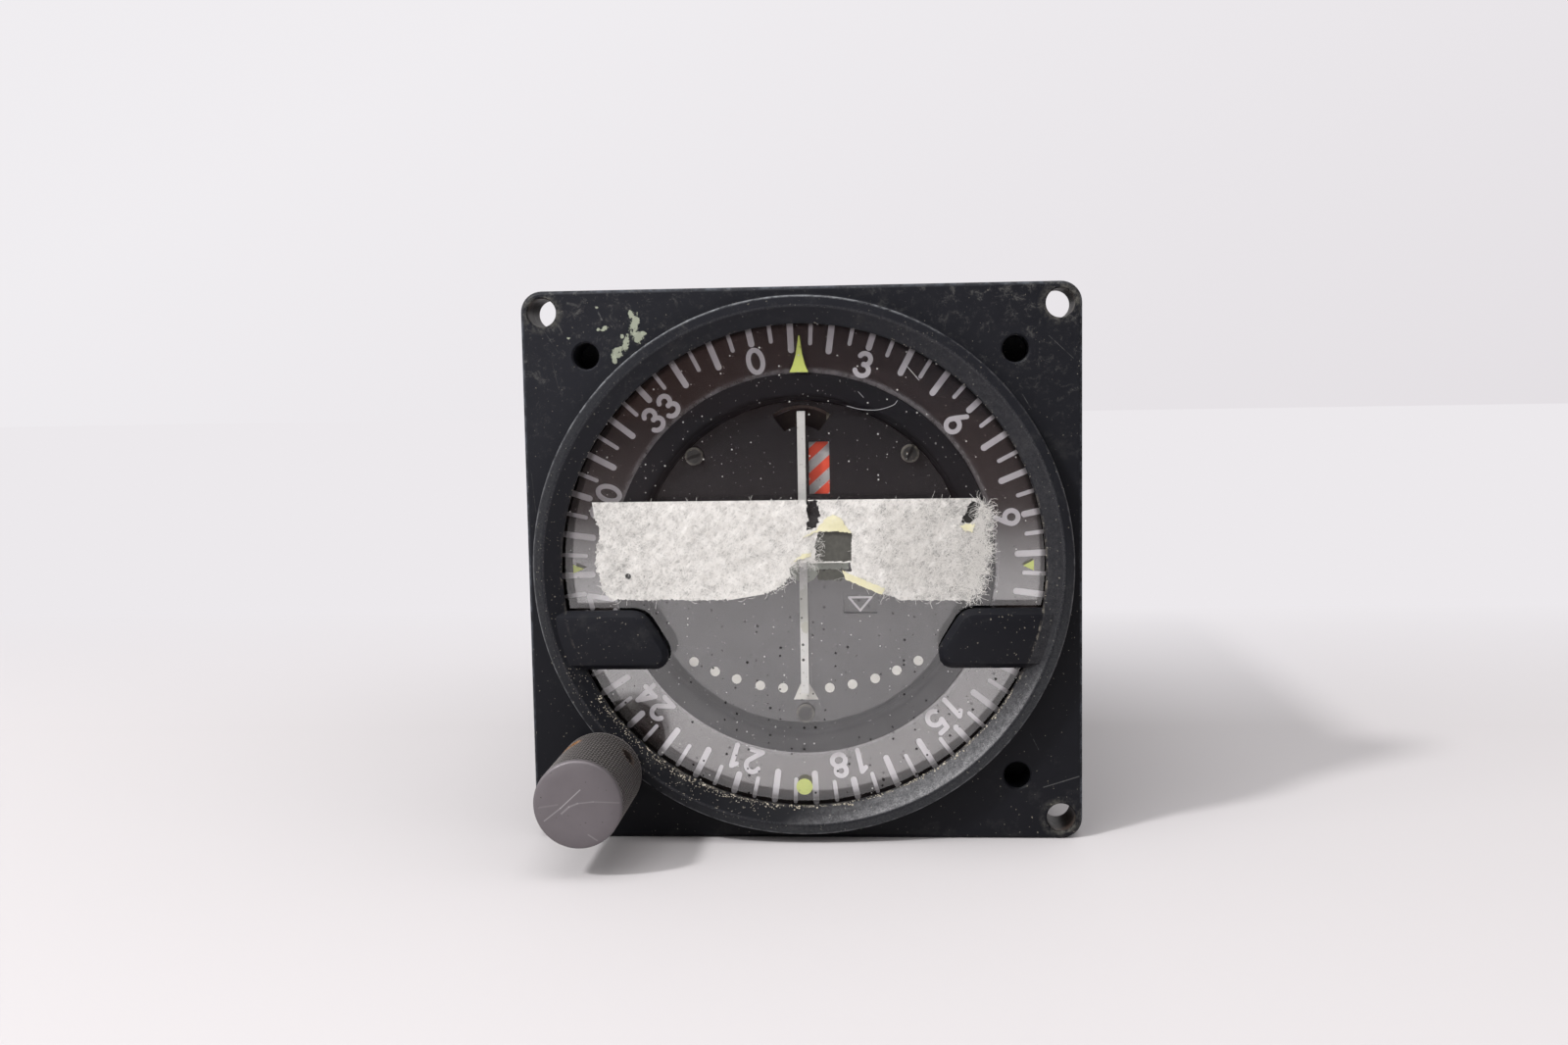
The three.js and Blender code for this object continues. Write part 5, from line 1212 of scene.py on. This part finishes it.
loops = [
    torn(outline, ragged, 11), torn(slit, [1] * 6, 21), torn(hole, [0.5] * 6, 31),
    torn(corner_tear, [1] * 6, 41), circle(0.45, (-25.86, -1.21), 12),
]
add_piece("tape_strip", *sheet(loops, TAPE_FRONT, TAPE_THICK, 0.1, 5, 0.3), stands_for=["masking_tape"],
          slot="masking_tape", smooth=50, finish=tape)


def torn_sheets(name, front, thickness, shapes, look):
    """A piece made of torn flat bits, each given by its corners, how ragged it is, its bumps and a seed."""
    add_piece(name, *joined(*[
        sheet([torn(corners, [rough] * len(corners), seed)], front, thickness, bumps, seed)
        for corners, rough, bumps, seed in shapes
    ]), slot="masking_tape", smooth=50, finish=look)


fold = [
    (0.2, 4.3), (2.3, 5.5), (3.4, 6.9), (4.6, 7.7), (5.7, 7.3), (6.6, 5.9), (7.5, 4.9), (4.9, 5.3),
    (2.6, 5.2),
]
torn_sheets("tape_scraps", SCRAP_FRONT, 0.05, [
    (fold, 0.5, 0.12, 51),
    ([(5.9, -0.5), (6.6, -0.9), (12.2, -3.3), (11.7, -4.2), (6.4, -1.9)], 0.3, 0.12, 61),
    ([(23.2, 5.9), (24.4, 6.1), (25.5, 6.0), (25.0, 5.0), (24.1, 4.9)], 0.7, 0.12, 71),
    ([(-1.6, 0.5), (0.2, 1.9), (1.6, 2.1), (1.2, 1.5), (-0.2, 1.2)], 0.6, 0.12, 81),
], Finish(
    "tape_yellow", (0.62, 0.58, 0.36), (0.76, 0.72, 0.52), rough=(0.5, 0.7), cloud=420.0, bump=0.25,
    specular=0.3,
))
# Painted shade: a near-black sheet behind the tape's torn corner, so the tear shows dark.
torn_sheets("tape_corner_shade", GLUE_AND_SHADE_FRONT, 0.04, [
    ([(23.2, 5.8), (26.0, 6.0), (26.3, 9.6), (23.9, 9.65)], 0.2, 0.0, 95),
], Finish("painted_shade_sheet", (0.010, 0.009, 0.008), (0.022, 0.021, 0.019), rough=(0.4, 0.6), cloud=900.0, bump=0.2))
torn_sheets("tape_glue", GLUE_AND_SHADE_FRONT, 0.04, [
    ([(1.6, 0.6), (7.6, 0.6), (7.6, 5.4), (1.6, 5.4)], 0.4, 0.03, 91),
    ([(2.3, -0.5), (6.0, -0.5), (6.1, -1.9), (4.9, -2.1), (2.4, -1.9)], 0.8, 0.03, 101),
], Finish(
    "old_glue", (0.055, 0.054, 0.047), (0.095, 0.092, 0.08), rough=(0.4, 0.6), stretch=(1, 1, 0.5),
    cloud=1500.0, specks=(0.2, 0.2, 0.18), speck_level=0.76, speck_scale=3000.0, bump=0.4,
))


def fibres(count, seed, along, width=0.03, lengths=(0.5, 2.0), spread=0.35):
    """Loose curved fibres, each a narrow band of seven points that starts near a given point and bends."""
    dice = np.random.default_rng(seed)
    start = along[dice.integers(0, len(along), count)] + dice.normal(0, spread, (count, 2))
    angle = dice.uniform(0, 2 * np.pi, count)
    bend = dice.normal(0, 1.4, count)
    length = dice.uniform(*lengths, count)
    t = np.linspace(0, 1, 7)
    heading = angle[:, None] + bend[:, None] * t
    step = length[:, None, None] / 6 * np.stack([np.cos(heading), np.sin(heading)], -1)
    path = start[:, None] + np.cumsum(step, 1)
    across = np.stack([-np.sin(heading), np.cos(heading)], -1) * width / 2
    base = FIBRE_FRONT - dice.uniform(0, 0.1, count)[:, None]
    depth = base - 0.12 * np.sin(np.pi * t) * dice.uniform(0, 1, count)[:, None]
    sides = np.stack([path + across, path - across], 2)
    depths = np.repeat(depth[:, :, None, None], 2, 2)
    points = np.concatenate([sides[..., :1], depths, sides[..., 1:]], -1).reshape(-1, 3)
    k = np.arange(6)
    quads = np.stack([2 * k, 2 * k + 1, 2 * k + 3, 2 * k + 2], -1)
    return points, (np.arange(count)[:, None, None] * 14 + quads).reshape(-1, 4).tolist()


edge, gap = loops[0], loops[2]
right_side = edge[(edge[:, 0] > 24.8) & (edge[:, 1] < 8.8)]
torn_sides = np.concatenate([edge[(np.abs(edge[:, 0] + 1) < 3) & (edge[:, 1] < 1.2)], gap[gap[:, 0] < 2.6]])
spans = [(7, -29, 26), (8, -4.2, 8.6)]
field = np.stack([np.random.default_rng(seed).uniform(low, high, 4000) for seed, low, high in spans], -1)
widened = [gap.mean(0) + (gap - gap.mean(0)) * 1.5 for gap in loops[1:4]]
field = field[within(field, [edge, *widened])]
add_piece("tape_fibres", *joined(
    fibres(1100, 1, right_side, 0.035, (0.4, 1.8)), fibres(220, 2, torn_sides, 0.035, (0.4, 1.3), 0.25),
    fibres(1700, 3, field), fibres(1300, 4, field[field[:, 0] > 12]),
), slot="masking_tape", turn_out=False, finish=Finish(
    "tape_fibre", (0.62, 0.60, 0.57), (0.80, 0.78, 0.75), rough=(0.6, 0.8), bump=0.05, specular=0.15,
))
